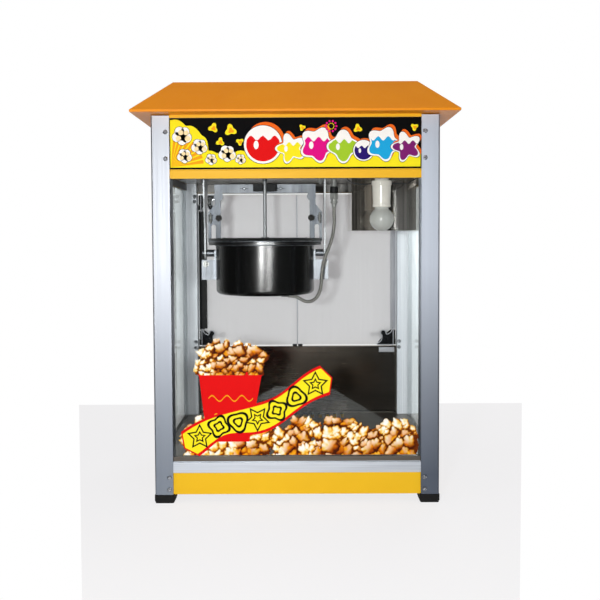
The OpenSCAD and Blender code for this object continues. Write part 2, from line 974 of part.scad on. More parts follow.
module switch_housings() {
    deep = 18;
    color(black)
        for (i = [0 : 2]) {
            rocker_place(i) difference() {
                union() {
                    translate([0, 4 - deep / 2, 0]) cube([housing_w - 3, deep, housing_h - 3], center = true);
                    translate([0, 5, 0]) cube([housing_w, 2, housing_h], center = true);
                }
                translate([0, 1, 0])
                    cube([rocker_w + 2 * play, 2 * rocker_r + 2, 2 * rocker_r + 2 * play], center = true);
                rotate([0, 90, 0]) cylinder(d = 3 + 2 * fit, h = housing_w - 4.6, center = true);
            }
        }
}

// A rocker that lies tilted one way at rest, with round ends about its pin
module rocker(i) {
    color(black)
        rocker_place(i) {
            intersection() {
                rotate([-rocker_tilt, 0, 0]) rotate([90, 0, 90]) linear_extrude(rocker_w, center = true)
                    polygon([[-4, -9], [-4, 9], [4, 14], [7, 14], [4.6, 0], [7, -14], [4, -14]]);
                rotate([0, 90, 0]) cylinder(r = rocker_r, h = rocker_w, center = true);
            }
            rotate([0, 90, 0]) cylinder(d = 3, h = rocker_w + 2, center = true);
        }
}

module heat_switch() {
    rocker(0);
}

module motor_switch() {
    rocker(1);
}

module lamp_switch() {
    rocker(2);
}

// Kettle: a pan with a rim, in a jacket that holds the heater
module kettle_pan() {
    curl = 8;
    color(steel)
        translate([kx, 0, 0]) rotate_extrude() {
            difference() {
                vessel2d(pan_half, pan_z, rim_top, 6);
                vessel2d(pan_half - sheet_t, pan_z + sheet_t, rim_top + cut, 4.5);
            }
            bar2d(pan_half - sheet_t, rim_half, rim_top - sheet_t, rim_top);
            bar2d(rim_half - sheet_t, rim_half, rim_top - curl, rim_top);
        }
}

module kettle_jacket() {
    top = rim_top - sheet_t;
    color(dark_steel) {
        translate([kx, 0, 0]) rotate_extrude() difference() {
            vessel2d(jacket_half, jacket_z, top, jacket_r);
            vessel2d(jacket_half - sheet_t, jacket_z + sheet_t, top + cut, jacket_r - sheet_t);
        }
        // the gland that the conduit goes into
        block(
            [gland_x - gland_l, conduit_y - 6, jacket_z - 5],
            [gland_x, conduit_y + 6, jacket_z]
        );
    }
}

module kettle_heater() {
    ring_h = 8;
    ring_w = 38;
    ring_r = pan_half - 14;
    color(dark_steel)
        translate([kx, 0, pan_z - ring_h]) difference() {
            cylinder(r = ring_r, h = ring_h);
            translate([0, 0, -cut]) cylinder(r = ring_r - ring_w, h = ring_h + 2 * cut);
        }
}

module kettle_brackets() {
    plate_front = -14;
    plate_low = 52;
    pin_out = hanger_off + hanger_t / 2 + 5;
    clip_in = hanger_off + hanger_t / 2 + 0.6;
    color(zinc)
        for (side = [-1, 1]) {
            translate([kx, 0, pivot_z]) mirror([side > 0 ? 0 : 1, 0, 0]) {
                difference() {
                    block([jacket_half - 8, plate_front, -plate_low], [jacket_half + 2.5, -plate_front, 6]);
                    translate([0, 0, -plate_low - cut])
                        cylinder(r = jacket_half, h = plate_low + 8 + cut, $fn = fine);
                }
                block([jacket_half + 2, plate_front, -plate_low], [pin_out, plate_front + 2, -13]);
                rotate([0, 90, 0]) {
                    translate([0, 0, jacket_half + 2]) cylinder(d = trunnion_d, h = pin_out - jacket_half - 2);
                    translate([0, 0, jacket_half + 2]) cylinder(d = 14, h = hanger_off - hanger_t / 2 - jacket_half - 3);
                    translate([0, 0, clip_in]) cylinder(d = 13, h = 1.5);
                }
            }
        }
}

// Yoke: a strip across the rim, with legs that rise to the bar behind the shaft
module yoke_leg2d() {
    foot = rim_top + strip_t;
    arch_top = pivot_z + 56;
    arch_in = 98;
    arch_out = 107;
    difference() {
        polygon([
            [yoke_inner, foot - strip_t], [yoke_outer, foot - strip_t],
            [yoke_outer, arch_top + 24], [yoke_inner + 12, arch_top + 40],
            [yoke_inner + 12, yoke_bar_top], [yoke_inner, yoke_bar_top]
        ]);
        translate([arch_in, 0]) square([arch_out - arch_in, arch_top - 4]);
        translate([(arch_in + arch_out) / 2, arch_top - 4]) circle((arch_out - arch_in) / 2);
    }
    translate([yoke_inner + 4, yoke_bar_top - 24]) circle(9);
}

module kettle_yoke() {
    boss_rise = 69;
    boss_d = 11;
    boss_l = 8;
    color(steel)
        translate([kx, 0, 0]) difference() {
            union() {
                block([-rim_half, -strip_half, rim_top], [rim_half, strip_half, rim_top + strip_t]);
                translate([0, 0, rim_top]) cylinder(d = 16, h = 7);
                for (side = [0, 1]) {
                    mirror([side, 0, 0]) translate([0, yoke_y + yoke_t, 0]) rotate([90, 0, 0])
                        linear_extrude(yoke_t) intersection() {
                            yoke_leg2d();
                            translate([0, rim_top]) square([yoke_outer, ceiling_z]);
                        }
                    mirror([side, 0, 0]) translate([yoke_inner + 3, yoke_y, pivot_z + boss_rise])
                        rotate([90, 0, 0]) cylinder(d = boss_d, h = boss_l);
                    for (flip = [0, 1]) {
                        mirror([side, 0, 0]) mirror([0, flip, 0]) block(
                            [lid_ear_x, strip_half - 1, rim_top],
                            [lid_ear_x + lid_ear_w, lid_hinge_y + 3.5, lid_hinge_z + 3]
                        );
                    }
                }
                block(
                    [-yoke_inner - 1, yoke_y, yoke_bar_top - yoke_bar_h],
                    [yoke_inner + 1, yoke_y + yoke_t, yoke_bar_top]
                );
            }
            translate([0, 0, rim_top - cut]) cylinder(d = shaft_d + 2 * fit, h = 10);
            for (y = [-lid_hinge_y, lid_hinge_y]) {
                translate([0, y, lid_hinge_z]) rotate([0, 90, 0])
                    cylinder(d = lid_pin_d + 2 * fit, h = 2 * lid_ear_x + 20, center = true);
            }
        }
}

module bearing_block() {
    block_w = 45;
    block_h = 14;
    front = 11;
    slot = shaft_d + 2 * play;
    color(black)
        translate([kx, 0, yoke_bar_top - block_h - 0.5]) difference() {
            block([-block_w / 2, -front, 0], [block_w / 2, yoke_y, block_h]);
            translate([0, 0, -cut]) cylinder(d = slot, h = block_h + 2 * cut);
            block([-slot / 2, -front - cut, -cut], [slot / 2, 0, block_h + cut]);
        }
}

module kettle_handle() {
    grip_y = jacket_half + 31.5;
    handle_drop = 17;
    rod_x = grip_l / 3;
    rod_d = 6;
    rod_root = 15;
    ferrule_d = 14;
    ferrule_l = 10;
    color(black)
        translate([kx, 0, pivot_z - handle_drop]) {
            translate([0, grip_y, 0]) rotate([0, 90, 0]) cylinder(d = grip_d, h = grip_l, center = true);
            difference() {
                for (x = [-rod_x, rod_x]) {
                    translate([x, grip_y, 0]) rotate([90, 0, 0])
                        cylinder(d = rod_d, h = grip_y - jacket_half + rod_root);
                    translate([x, jacket_half - 2, 0]) rotate([90, 0, 0])
                        cylinder(d = ferrule_d, h = ferrule_l);
                }
                cylinder(r = jacket_half, h = 30, center = true, $fn = fine);
            }
        }
}

// A half lid that turns up about pins in the yoke's ears; the front one is drawn, flip makes the rear one
module lid(flip) {
    plate_z = rim_top + play;
    edge_h = 4.8;
    ear = lid_ear_x - play;
    color(steel)
        translate([kx, 0, 0]) mirror([0, flip, 0]) {
            difference() {
                translate([0, 0, plate_z]) difference() {
                    cylinder(r = rim_half, h = edge_h);
                    translate([0, 0, sheet_t]) cylinder(r = rim_half - sheet_t, h = edge_h);
                }
                block([-rim_d, -lid_hinge_y, 0], [rim_d, rim_d, ceiling_z]);
                for (side = [-1, 1]) {
                    translate([side * (lid_ear_x + lid_ear_w / 2), -lid_hinge_y, lid_hinge_z])
                        cube([lid_ear_w + 2 * play, 10, 12], center = true);
                }
            }
            translate([0, -lid_hinge_y, lid_hinge_z]) rotate([0, 90, 0]) {
                cylinder(d = lid_knuckle_d, h = 2 * ear, center = true);
                cylinder(d = lid_pin_d, h = 2 * (lid_ear_x + lid_ear_w), center = true);
            }
            block(
                [-ear, -lid_hinge_y - lid_knuckle_d / 2, plate_z],
                [ear, -lid_hinge_y, lid_hinge_z]
            );
        }
}

module front_lid() {
    lid(0);
}

module rear_lid() {
    lid(1);
}

module stirrer() {
    pan_floor = pan_z + sheet_t;
    sweep = pan_half - 8;
    color(zinc)
        translate([kx, 0, pan_floor + 0.7]) {
            cylinder(d = shaft_d, h = shaft_top - pan_floor - 0.7);
            cylinder(d = 15, h = 12);
            for (turn = [0, 180]) {
                rotate([0, 0, turn]) {
                    block([0, -5, 0], [sweep, -2, 9]);
                    rotate([0, 0, 90]) block([0, -4, 0], [sweep * 0.6, -1, 6]);
                }
            }
        }
}

// Crumb drawer under the tray, pulled out to the back
module crumb_drawer() {
    front = 20;
    face_over = 9;
    face_y = half_d - glass_in + play;
    color(steel) {
        difference() {
            block([-drawer_half, front, drawer_z], [drawer_half, face_y, drawer_z + drawer_h]);
            block(
                [-drawer_half + steel_t, front + steel_t, drawer_z + steel_t],
                [drawer_half - steel_t, face_y - steel_t, drawer_z + drawer_h + cut]
            );
        }
        block(
            [-drawer_half - face_over, face_y, drawer_z],
            [drawer_half + face_over, face_y + sheet_t, drawer_z + drawer_h + face_over]
        );
        block([-40, face_y, drawer_z + 20], [40, face_y + 14, drawer_z + 22]);
        block([-40, face_y + 12, drawer_z + 14], [40, face_y + 14, drawer_z + 22]);
    }
}

left_front_post();
right_front_post();
left_rear_post();
right_rear_post();
rubber_feet();
front_skirt();
side_skirts();
rear_lower_panel();
base_pan();
front_trim();
side_trims();
tray_floor();
rear_inner_wall();
front_glass();
left_glass();
right_glass();
front_header();
side_headers();
rear_header();
front_sign();
side_signs();
ceiling_plate();
roof();
gearbox();
drive_motor();
drive_hub();
left_hanger();
right_hanger();
lamp_holder();
lamp_bulb();
lamp_wires();
wiring_box();
conduit_socket();
kettle_conduit();
post_screws();
hinge_bases();
door_magnets();
power_inlet();
switch_housings();
heat_switch();
motor_switch();
lamp_switch();
left_door();
left_door_strip();
left_hinge_leaves();
left_door_knob();
right_door();
right_hinge_leaves();
right_door_knob();
kettle_pan();
kettle_jacket();
kettle_heater();
kettle_brackets();
kettle_yoke();
bearing_block();
kettle_handle();
front_lid();
rear_lid();
stirrer();
crumb_drawer();
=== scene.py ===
import math
import random
import bmesh
import bpy
import numpy as np
from mathutils import Matrix, Vector


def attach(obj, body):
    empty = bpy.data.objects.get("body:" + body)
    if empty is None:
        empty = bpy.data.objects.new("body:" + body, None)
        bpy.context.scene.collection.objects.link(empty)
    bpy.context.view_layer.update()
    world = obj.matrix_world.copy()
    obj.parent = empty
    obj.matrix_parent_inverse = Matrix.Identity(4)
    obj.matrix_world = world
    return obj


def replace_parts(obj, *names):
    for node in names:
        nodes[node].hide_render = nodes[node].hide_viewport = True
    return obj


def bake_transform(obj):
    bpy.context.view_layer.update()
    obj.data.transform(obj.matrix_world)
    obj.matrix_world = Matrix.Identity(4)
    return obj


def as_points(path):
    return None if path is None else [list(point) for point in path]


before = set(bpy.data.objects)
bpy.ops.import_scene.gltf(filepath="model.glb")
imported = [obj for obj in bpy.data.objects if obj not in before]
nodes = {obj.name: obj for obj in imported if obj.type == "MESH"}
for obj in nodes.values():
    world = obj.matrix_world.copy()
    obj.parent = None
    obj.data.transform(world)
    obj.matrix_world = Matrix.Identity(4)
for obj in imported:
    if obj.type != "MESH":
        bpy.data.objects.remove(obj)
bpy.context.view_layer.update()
print("popcorn maker:", len(nodes), "nodes loaded")

# Camera: an eye-level view of the front, in metres and degrees
cameraView = {
    "place": (0.01026, -1.48038, 0.4668),
    "yaw": -0.1436, "pitch": 2.4095, "roll": -0.2784,
    "focalPixels": 748.64, "middleRow": 269.11, "imageSize": 600, "sensor": 36,
    "nearest": 0.05, "farthest": 50,
}


def addObject(name, data):
    made = bpy.data.objects.new(name, data)
    bpy.context.scene.collection.objects.link(made)
    return made


def makeCamera(view):
    yaw, pitch, roll = (math.radians(view[turn]) for turn in ("yaw", "pitch", "roll"))
    forward = Vector((math.sin(yaw) * math.cos(pitch), math.cos(yaw) * math.cos(pitch), -math.sin(pitch)))
    right = Vector((math.cos(yaw), -math.sin(yaw), 0))
    up = right.cross(forward)
    across = right * math.cos(roll) + up * math.sin(roll)
    upright = up * math.cos(roll) - right * math.sin(roll)
    data = bpy.data.cameras.new("camera")
    data.sensor_width = view["sensor"]
    data.lens = view["focalPixels"] * view["sensor"] / view["imageSize"]
    data.shift_y = view["middleRow"] / view["imageSize"] - 0.5
    data.clip_start, data.clip_end = view["nearest"], view["farthest"]
    camera = addObject("camera", data)
    turned = Matrix((across, upright, -forward)).transposed().to_4x4()
    camera.matrix_world = Matrix.Translation(view["place"]) @ turned
    bpy.context.scene.camera = camera


makeCamera(cameraView)

# Mesh helpers: sizes and places in millimetres, made into metres here; a shape is its points and faces
mm = 0.001
arcSteps = 5


def addPiece(name, shape, finish, body, smooth=True):
    points, faces = shape
    mesh = bpy.data.meshes.new(name)
    mesh.from_pydata([tuple(c * mm for c in p) for p in points], [], faces)
    mesh.validate()
    tidy = bmesh.new()
    tidy.from_mesh(mesh)
    bmesh.ops.recalc_face_normals(tidy, faces=tidy.faces)
    tidy.to_mesh(mesh)
    tidy.free()
    for face in mesh.polygons:
        face.use_smooth = smooth
    mesh.materials.append(finishes[finish])
    piece = addObject(name, mesh)
    if body:
        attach(piece, body)
    return piece


def sharpen(piece, degrees=35):
    # keeps the shading crisp over edges steeper than this
    work = bmesh.new()
    work.from_mesh(piece.data)
    for edge in work.edges:
        if len(edge.link_faces) == 2 and edge.calc_face_angle(0) > math.radians(degrees):
            edge.smooth = False
    work.to_mesh(piece.data)
    work.free()
    return piece


def smoothRoute(points, step):
    # a curve through the points, cut into even steps
    p = np.array([points[0], *points, points[-1]], float)
    fine = []
    for a, b, c, d in zip(p[:-3], p[1:-2], p[2:-1], p[3:]):
        for t in np.linspace(0, 1, 24, endpoint=False):
            bend = (2 * a - 5 * b + 4 * c - d) * t**2 + (3 * b - a - 3 * c + d) * t**3
            fine.append((2 * b + (c - a) * t + bend) / 2)
    fine = np.array(fine + [p[-1]])
    gone = np.concatenate([[0], np.cumsum(np.linalg.norm(np.diff(fine, axis=0), axis=1))])
    at = np.linspace(0, gone[-1], int(round(gone[-1] / step)) + 1)
    return [Vector([np.interp(t, gone, fine[:, k]) for k in range(3)]) for t in at]


def ringFaces(rings, count, closed=False):
    # quads between neighbouring rings of points
    faces = []
    for i in range(rings if closed else rings - 1):
        here, after = i * count, (i + 1) % rings * count
        for k in range(count):
            m = (k + 1) % count
            faces.append((here + k, here + m, after + m, after + k))
    return faces


def capped(points, count):
    # rings of points as a closed shape, with both ends filled
    last = len(points)
    ends = [tuple(range(count))[::-1], tuple(range(last - count, last))]
    return points, ringFaces(last // count, count) + ends


def tubeAlong(route, radius, sides):
    # rings of points about a route; the radius may take the distance gone and the angle
    points = []
    side = Vector((0, 1, 0))
    gone = 0
    for i, here in enumerate(route):
        ahead = (route[min(i + 1, len(route) - 1)] - route[max(i - 1, 0)]).normalized()
        side = (side - ahead * side.dot(ahead)).normalized()
        other = ahead.cross(side)
        if i:
            gone += (here - route[i - 1]).length
        for k in range(sides):
            t = 2 * math.pi * k / sides
            reach = radius(gone, t) if callable(radius) else radius
            points.append(here + (side * math.cos(t) + other * math.sin(t)) * reach)
    return capped(points, sides)


def softOutline(corners):
    # corners are (across, up, rounding); each rounding becomes an arc
    made = []
    for i, (x, y, soft) in enumerate(corners):
        here = Vector((x, y))
        if not soft or i in (0, len(corners) - 1):
            made.append(here)
            continue
        before = Vector(corners[i - 1][:2]) - here
        after = Vector(corners[i + 1][:2]) - here
        half = before.angle(after) / 2
        reach = min(soft / math.tan(half), 0.49 * before.length, 0.49 * after.length)
        radius = reach * math.tan(half)
        before.normalize()
        after.normalize()
        centre = here + (before + after).normalized() * radius / math.sin(half)
        start, finish = here + before * reach - centre, here + after * reach - centre
        first = math.atan2(start.y, start.x)
        turn = math.atan2(finish.y, finish.x) - first
        turn = (turn + math.pi) % (2 * math.pi) - math.pi
        for k in range(arcSteps + 1):
            t = first + turn * k / arcSteps
            made.append(centre + Vector((math.cos(t), math.sin(t))) * radius)
    return made


def lathe(corners, centre, axis="z", segments=48):
    # turns an outline of (radius, height, rounding) about an axis through centre
    points, faces, rings = [], [], []
    for r, h in softOutline(corners):
        ring = []
        for k in range(segments if r > 1e-6 else 1):
            t = 2 * math.pi * k / segments
            u, v = r * math.cos(t), r * math.sin(t)
            place = {"z": (u, v, h), "y": (u, h, v), "x": (h, u, v)}[axis]
            ring.append(len(points))
            points.append([p + c for p, c in zip(place, centre)])
        rings.append(ring)
    for low, high in zip(rings[:-1], rings[1:]):
        for k in range(segments):
            m = (k + 1) % segments
            corner = [low[k % len(low)], low[m % len(low)], high[m % len(high)], high[k % len(high)]]
            unique = tuple(dict.fromkeys(corner))
            if len(unique) > 2:
                faces.append(unique)
    return points, faces


def joined(*shapes):
    points, faces = [], []
    for some, those in shapes:
        start = len(points)
        points += list(some)
        faces += [tuple(i + start for i in face) for face in those]
    return points, faces


def middleOf(outline):
    return Vector((sum(p[0] for p in outline) / len(outline), sum(p[1] for p in outline) / len(outline)))


def slab(outline, low, high, soft=0.0, plane="xz"):
    # a plate with this outline, from low to high across the plane, with its edges eased
    middle = middleOf(outline)
    levels = [(low, 0), (high, 0)]
    if soft:
        levels = [(low, soft), (low + soft, 0), (high - soft, 0), (high, soft)]
    points = []
    for level, inset in levels:
        for p in outline:
            away = Vector(p[:2]) - middle
            u, v = middle + away * max(0.0, 1 - inset / max(away.length, 1e-6))
            points.append({"xz": (u, level, v), "xy": (u, v, level), "yz": (level, u, v)}[plane])
    return capped(points, len(outline))


def arc(x, y, across, up, start, sweep, steps):
    # points on an ellipse about (x, y), between two angles in degrees
    turns = [math.radians(start + sweep * k / steps) for k in range(steps + 1)]
    return [(x + across * math.cos(t), y + up * math.sin(t)) for t in turns]


def disc(x, y, r, count=40, squash=1.0):
    return arc(x, y, r, r * squash, 0, 360, count)[:-1]


def rectangle(left, low, right, high):
    return [(left, low), (right, low), (right, high), (left, high)]


# Shader helpers
def tint(red, green, blue):
    # a colour as it looks on a screen, 0 to 255, made linear
    def line(c):
        c = c / 255
        return c / 12.92 if c <= 0.04045 else ((c + 0.055) / 1.055) ** 2.4

    return (line(red), line(green), line(blue), 1)


def deeper(colour, share):
    return tuple(c * share for c in colour[:3]) + (1,)


class Wire:
    def __init__(self, recipe, socket):
        self.recipe, self.socket = recipe, socket

    def math(self, operation, *others):
        return self.recipe.node("Math", {"operation": operation}, dict(enumerate((self, *others))))

    def __add__(self, other):
        return self.math("ADD", other)

    def __sub__(self, other):
        return self.math("SUBTRACT", other)

    def __mul__(self, other):
        return self.math("MULTIPLY", other)

    def __rsub__(self, other):
        return self.recipe.node("Math", {"operation": "SUBTRACT"}, {0: other, 1: self})

    __radd__ = __add__
    __rmul__ = __mul__


class Recipe:
    # builds one material's node tree
    def __init__(self, name, tree=None):
        if tree is None:
            self.material = bpy.data.materials.new(name)
            self.material.use_nodes = True
            tree = self.material.node_tree
        self.tree = tree
        self.tree.nodes.clear()

    def node(self, kind, settings=None, inputs=None, output=0):
        made = self.tree.nodes.new("ShaderNode" + kind)
        for key, value in (settings or {}).items():
            setattr(made, key, value)
        for key, value in (inputs or {}).items():
            socket = made.inputs[key]
            if isinstance(value, Wire):
                self.tree.links.new(value.socket, socket)
            else:
                socket.default_value = value
        return Wire(self, made.outputs[output]) if made.outputs else None

    def vector(self, operation, first, second, output=0):
        return self.node("VectorMath", {"operation": operation}, {0: first, 1: second}, output)

    def grain(self, scale, detail=4, stretch=(1, 1, 1)):
        place = self.vector("MULTIPLY", self.node("TexCoord", output="Object"), stretch)
        inputs = {"Vector": place, "Scale": scale, "Detail": detail, "Roughness": 0.55}
        return self.node("TexNoise", None, inputs)

    def spread(self, factor, low, high, fromLow=0.3, fromHigh=0.7):
        ends = {"From Min": fromLow, "From Max": fromHigh, "To Min": low, "To Max": high}
        return self.node("MapRange", None, {"Value": factor, **ends})

    def mix(self, factor, first, second):
        return self.node("Mix", {"data_type": "RGBA"}, {0: factor, 6: first, 7: second}, output=2)

    def blend(self, factor, first, second):
        return self.node("MixShader", None, {0: factor, 1: first, 2: second})

    def bump(self, height, strength, distance=0.0002):
        return self.node("Bump", None, {"Height": height, "Strength": strength, "Distance": distance})

    def rays(self):
        kinds = ("Is Camera Ray", "Is Glossy Ray", "Is Transmission Ray")
        return [self.node("LightPath", output=kind) for kind in kinds]

    def surface(self, **inputs):
        named = {key.replace("_", " "): value for key, value in inputs.items()}
        return self.node("BsdfPrincipled", None, named)

    def done(self, shader):
        self.node("OutputMaterial", None, {"Surface": shader})
        return self.material

    def solid(self, **inputs):
        return self.done(self.surface(**inputs))


# Finishes: colours are as they look on a screen
grainAlong = {"x": (0.012, 1, 1), "y": (1, 0.012, 1), "z": (1, 1, 0.006), "round": (0.004, 0.004, 1)}


def drawnMetal(name, pale, dark, rough, along, scale=900, depth=0.3, blotch=0.12, metallic=1.0, vary=1.0):
    # sheet or profile with fine drawn lines along one axis and slow patches of tone
    recipe = Recipe(name)
    lines = recipe.grain(scale, 3, grainAlong[along])
    wide = recipe.grain(scale / 14, 2, grainAlong[along])
    patches = recipe.grain(9, 3)
    tone = recipe.spread(lines * 0.55 + wide * 0.45, 0, 1, 0.36, 0.64)
    colour = recipe.mix(tone, tint(*dark), tint(*pale))
    # darker in slow random blotches
    blotched = recipe.mix(recipe.spread(patches, 0, blotch), colour, deeper(tint(*dark), 0.6))
    shine = recipe.spread(lines, rough - 0.06 * vary, rough + 0.08 * vary, 0.35, 0.65)
    shine += recipe.spread(patches, -0.03, 0.04)
    normal = recipe.bump(lines, depth)
    return recipe.solid(Base_Color=blotched, Metallic=metallic, Roughness=shine, Normal=normal)


def paintedGleamMetal(name, bright, dull, rough):
    # anodised profile with fine upright lines; its tone runs from dull at the foot to bright at eye height,
    # a painted reflection of the flash fading downwards
    recipe = Recipe(name)
    lines = recipe.grain(500, 3, (1, 1, 0.006))
    wide = recipe.grain(60, 2, (1, 1, 0.02))
    place = recipe.node("TexCoord", output="Object")
    height = recipe.node("SeparateXYZ", None, {"Vector": place}, output="Z")
    # painted reflection: the colour grows brighter with height, up to where the flash's highlight sits
    tone = recipe.mix(recipe.spread(height, 0, 1, 0.05, 0.42), tint(*dull), tint(*bright))
    share = recipe.spread(lines * 0.6 + wide * 0.4, 0.12, 0, 0.36, 0.64)
    lined = recipe.mix(share, tone, deeper(tint(*dull), 0.4))
    shine = recipe.spread(lines, rough - 0.04, rough + 0.05, 0.35, 0.65)
    normal = recipe.bump(lines, 0.15)
    return recipe.solid(Base_Color=lined, Metallic=1.0, Roughness=shine, Normal=normal)


def linedPaint(name, colour, deep, steel, rough=0.5):
    # a painted rail whose inward faces are bare steel
    recipe = Recipe(name)
    toward = recipe.node("NewGeometry", output="Normal")
    spot = recipe.node("NewGeometry", output="Position")
    facing = recipe.vector("DOT_PRODUCT", toward, spot, output="Value")
    inward = facing.math("LESS_THAN", -0.05)
    patches = recipe.grain(14, 3)
    lines = recipe.grain(500, 3, (0.02, 1, 1))
    paint = recipe.mix(recipe.spread(patches, 0, 0.5), tint(*colour), tint(*deep))
    bare = recipe.mix(recipe.spread(lines, 0, 0.4), tint(*steel), deeper(tint(*steel), 0.5))
    return recipe.solid(
        Base_Color=recipe.mix(inward, paint, bare),
        Roughness=recipe.spread(lines, rough - 0.05, rough + 0.05),
        Normal=recipe.bump(recipe.grain(420, 2), 0.1),
        Metallic=inward, Specular_IOR_Level=0.3,
    )


def enamel(name, colour, deep, rough=0.3, coat=0.4, peel=0.12, glow=0.0):
    # powder paint with a faint orange peel, thinner and duller in patches
    recipe = Recipe(name)
    patches = recipe.grain(14, 3)
    fine = recipe.grain(420, 2)
    specks = recipe.grain(90, 5)
    return recipe.solid(
        Base_Color=recipe.mix(recipe.spread(patches, 0, 0.5), tint(*colour), tint(*deep)),
        Roughness=recipe.spread(specks, rough - 0.04, rough + 0.06),
        Normal=recipe.bump(fine, peel),
        Coat_Weight=coat, Coat_Roughness=0.12, Specular_IOR_Level=0.3,
        # painted glow: an even self-light in the paint's colour that lifts shaded sides
        Emission_Color=tint(*colour), Emission_Strength=glow,
    )


def plastic(name, colour, pale, rough=0.35, sheen=0.5, scale=300, depth=0.15):
    recipe = Recipe(name)
    specks = recipe.grain(scale, 4)
    patches = recipe.grain(25, 3)
    return recipe.solid(
        Base_Color=recipe.mix(recipe.spread(patches, 0, 0.6), tint(*colour), tint(*pale)),
        Roughness=recipe.spread(specks, rough - 0.05, rough + 0.05),
        Normal=recipe.bump(specks, depth), Specular_IOR_Level=sheen,
    )


def braid(name, dark, pale):
    recipe = Recipe(name)
    weave = recipe.grain(1400, 2)
    tone = recipe.mix(recipe.spread(weave, 0, 1, 0.35, 0.65), tint(*dark), tint(*pale))
    shine = recipe.spread(weave, 0.42, 0.5)
    normal = recipe.bump(weave, 0.4)
    return recipe.solid(Base_Color=tone, Metallic=1.0, Roughness=shine, Normal=normal)


def clearGlass(name, edge, shine, rough=0.02, haze=0.004):
    # a pane that reflects more at a slant, with faint smears
    recipe = Recipe(name)
    smears = recipe.spread(recipe.grain(7, 4, (1, 1, 0.3)), 0, haze, 0.5, 0.75)
    facing = recipe.node("LayerWeight", output="Facing")
    reflect = recipe.spread(facing.math("POWER", 3), 0.03, shine, 0, 1)
    through = recipe.node("BsdfTransparent", None, {"Color": edge})
    gloss = recipe.surface(Base_Color=(0.9, 0.95, 0.95, 1), Metallic=1.0, Roughness=rough)
    film = recipe.node("BsdfDiffuse", None, {"Color": (0.8, 0.82, 0.82, 1)})
    return recipe.done(recipe.blend(smears, recipe.blend(reflect, through, gloss), film))


def milkyPanel(name, colour, cover, glow):
    # a pale acrylic door under its film: mostly solid, lit a little from behind, with faint draw lines
    recipe = Recipe(name)
    lines = recipe.grain(260, 3, (1, 1, 0.01))
    patches = recipe.grain(5, 3)
    tone = recipe.spread(lines * 0.4 + patches * 0.6, 0, 1)
    body = recipe.surface(
        Base_Color=recipe.mix(tone, deeper(colour, 0.9), colour),
        Roughness=recipe.spread(lines, 0.36, 0.46),
        Normal=recipe.bump(lines, 0.08), Specular_IOR_Level=0.12,
    )
    behind = recipe.node("BsdfTranslucent", None, {"Color": (1.0, 0.96, 0.97, 1)})
    through = recipe.node("BsdfTransparent", None, {"Color": (0.95, 0.97, 0.98, 1)})
    return recipe.done(recipe.blend(cover, through, recipe.blend(glow, body, behind)))


def printInk(name, rough=0.6):
    # takes its colours from the piece's own points
    recipe = Recipe(name)
    ink = recipe.node("Attribute", {"attribute_name": "ink"}, output="Color")
    specks = recipe.grain(700, 3)
    dim = recipe.mix(recipe.spread(specks, 0, 0.08), ink, (0.02, 0.02, 0.02, 1))
    shine = recipe.spread(specks, rough - 0.06, rough + 0.06)
    return recipe.solid(Base_Color=dim, Roughness=shine, Specular_IOR_Level=0.06)


# pale, dark, roughness, direction of the lines, their scale, depth, blotches, metallic, variation
metals = {
    # the rear posts: a paler painted-light copy of the post aluminium
    "rearPost": ("bright rear post", (240, 243, 248), (204, 209, 216), 0.4, "z", 300, 0.12, 0.1, 0.25),
    "trim": ("drawn aluminium strip", (220, 226, 234), (192, 199, 209), 0.5, "x", 600, 0.12, 0.05, 0.8),
    "liner": ("stainless liner", (112, 104, 95), (100, 93, 85), 0.24, "x", 500, 0.006, 0.2, 1.0, 0.25),
    "tray": ("stainless tray", (128, 122, 114), (108, 102, 95), 0.34, "x", 500, 0.01, 0.2, 1.0, 0.4),
    "ceiling": ("stainless ceiling", (190, 188, 184), (132, 129, 125), 0.3, "x", 500, 0.05, 0.3, 0.5),
    "mirror": ("bright steel cover", (212, 203, 192), (96, 89, 82), 0.08, "z", 500, 0.02, 0.15, 0.86),
    "jacket": (
        "polished kettle steel", (66, 65, 65), (60, 59, 59), 0.22, "round", 700, 0.002, 0.1, 1.0, 0.06,
    ),
    "pan": ("spun pan steel", (88, 88, 89), (70, 70, 71), 0.28, "round", 700, 0.03, 0.1),
    "lid": ("brushed lid steel", (140, 140, 141), (112, 112, 113), 0.5, "x", 500, 0.05, 0.1),
    "shaft": ("bright shaft", (190, 192, 194), (150, 152, 155), 0.4, "z", 500, 0.05, 0.1, 0.5),
    "plate": ("bright plate", (206, 209, 215), (118, 122, 130), 0.44, "z", 160, 0.14, 0.45),
    "bolt": ("zinc bolt", (215, 215, 212), (160, 160, 158), 0.35, "z", 300, 0.1, 0.3, 0.5),
    "cast": ("cast aluminium", (150, 152, 154), (104, 106, 110), 0.5, "y", 200, 0.4, 0.3),
    "heater": ("dull heater iron", (86, 84, 82), (52, 50, 49), 0.55, "y", 200, 0.4, 0.4),
    "mount": ("plated bracket", (172, 175, 180), (72, 76, 84), 0.46, "z", 70, 0.14, 0.6, 0.85),
}
# painted lit tone at eye height and painted shaded tone at the foot, roughness
profiles = {
    "post": ("brushed aluminium", (201, 205, 212), (148, 156, 168), 0.56),
    # the right front post: a darker painted-shade copy of the same aluminium
    "shadePost": ("shaded aluminium", (204, 211, 222), (104, 112, 126), 0.56),
}
# colour and deeper colour, roughness, coat, peel, painted glow
paints = {
    "yellow": ("yellow powder paint", (238, 188, 22), (232, 180, 18), 0.34, 0.05),
    "orange": ("orange powder paint", (243, 148, 8), (235, 136, 6), 0.42, 0.02),
    # the holder and the unlit bulb carry a faint painted glow that lifts their shaded sides
    "porcelain": ("glazed porcelain", (240, 234, 224), (228, 221, 210), 0.2, 0.3, 0.03, 0.12),
    "opal": ("opal glass", (190, 190, 185), (176, 176, 172), 0.14, 0.4, 0.02, 0.15),
}
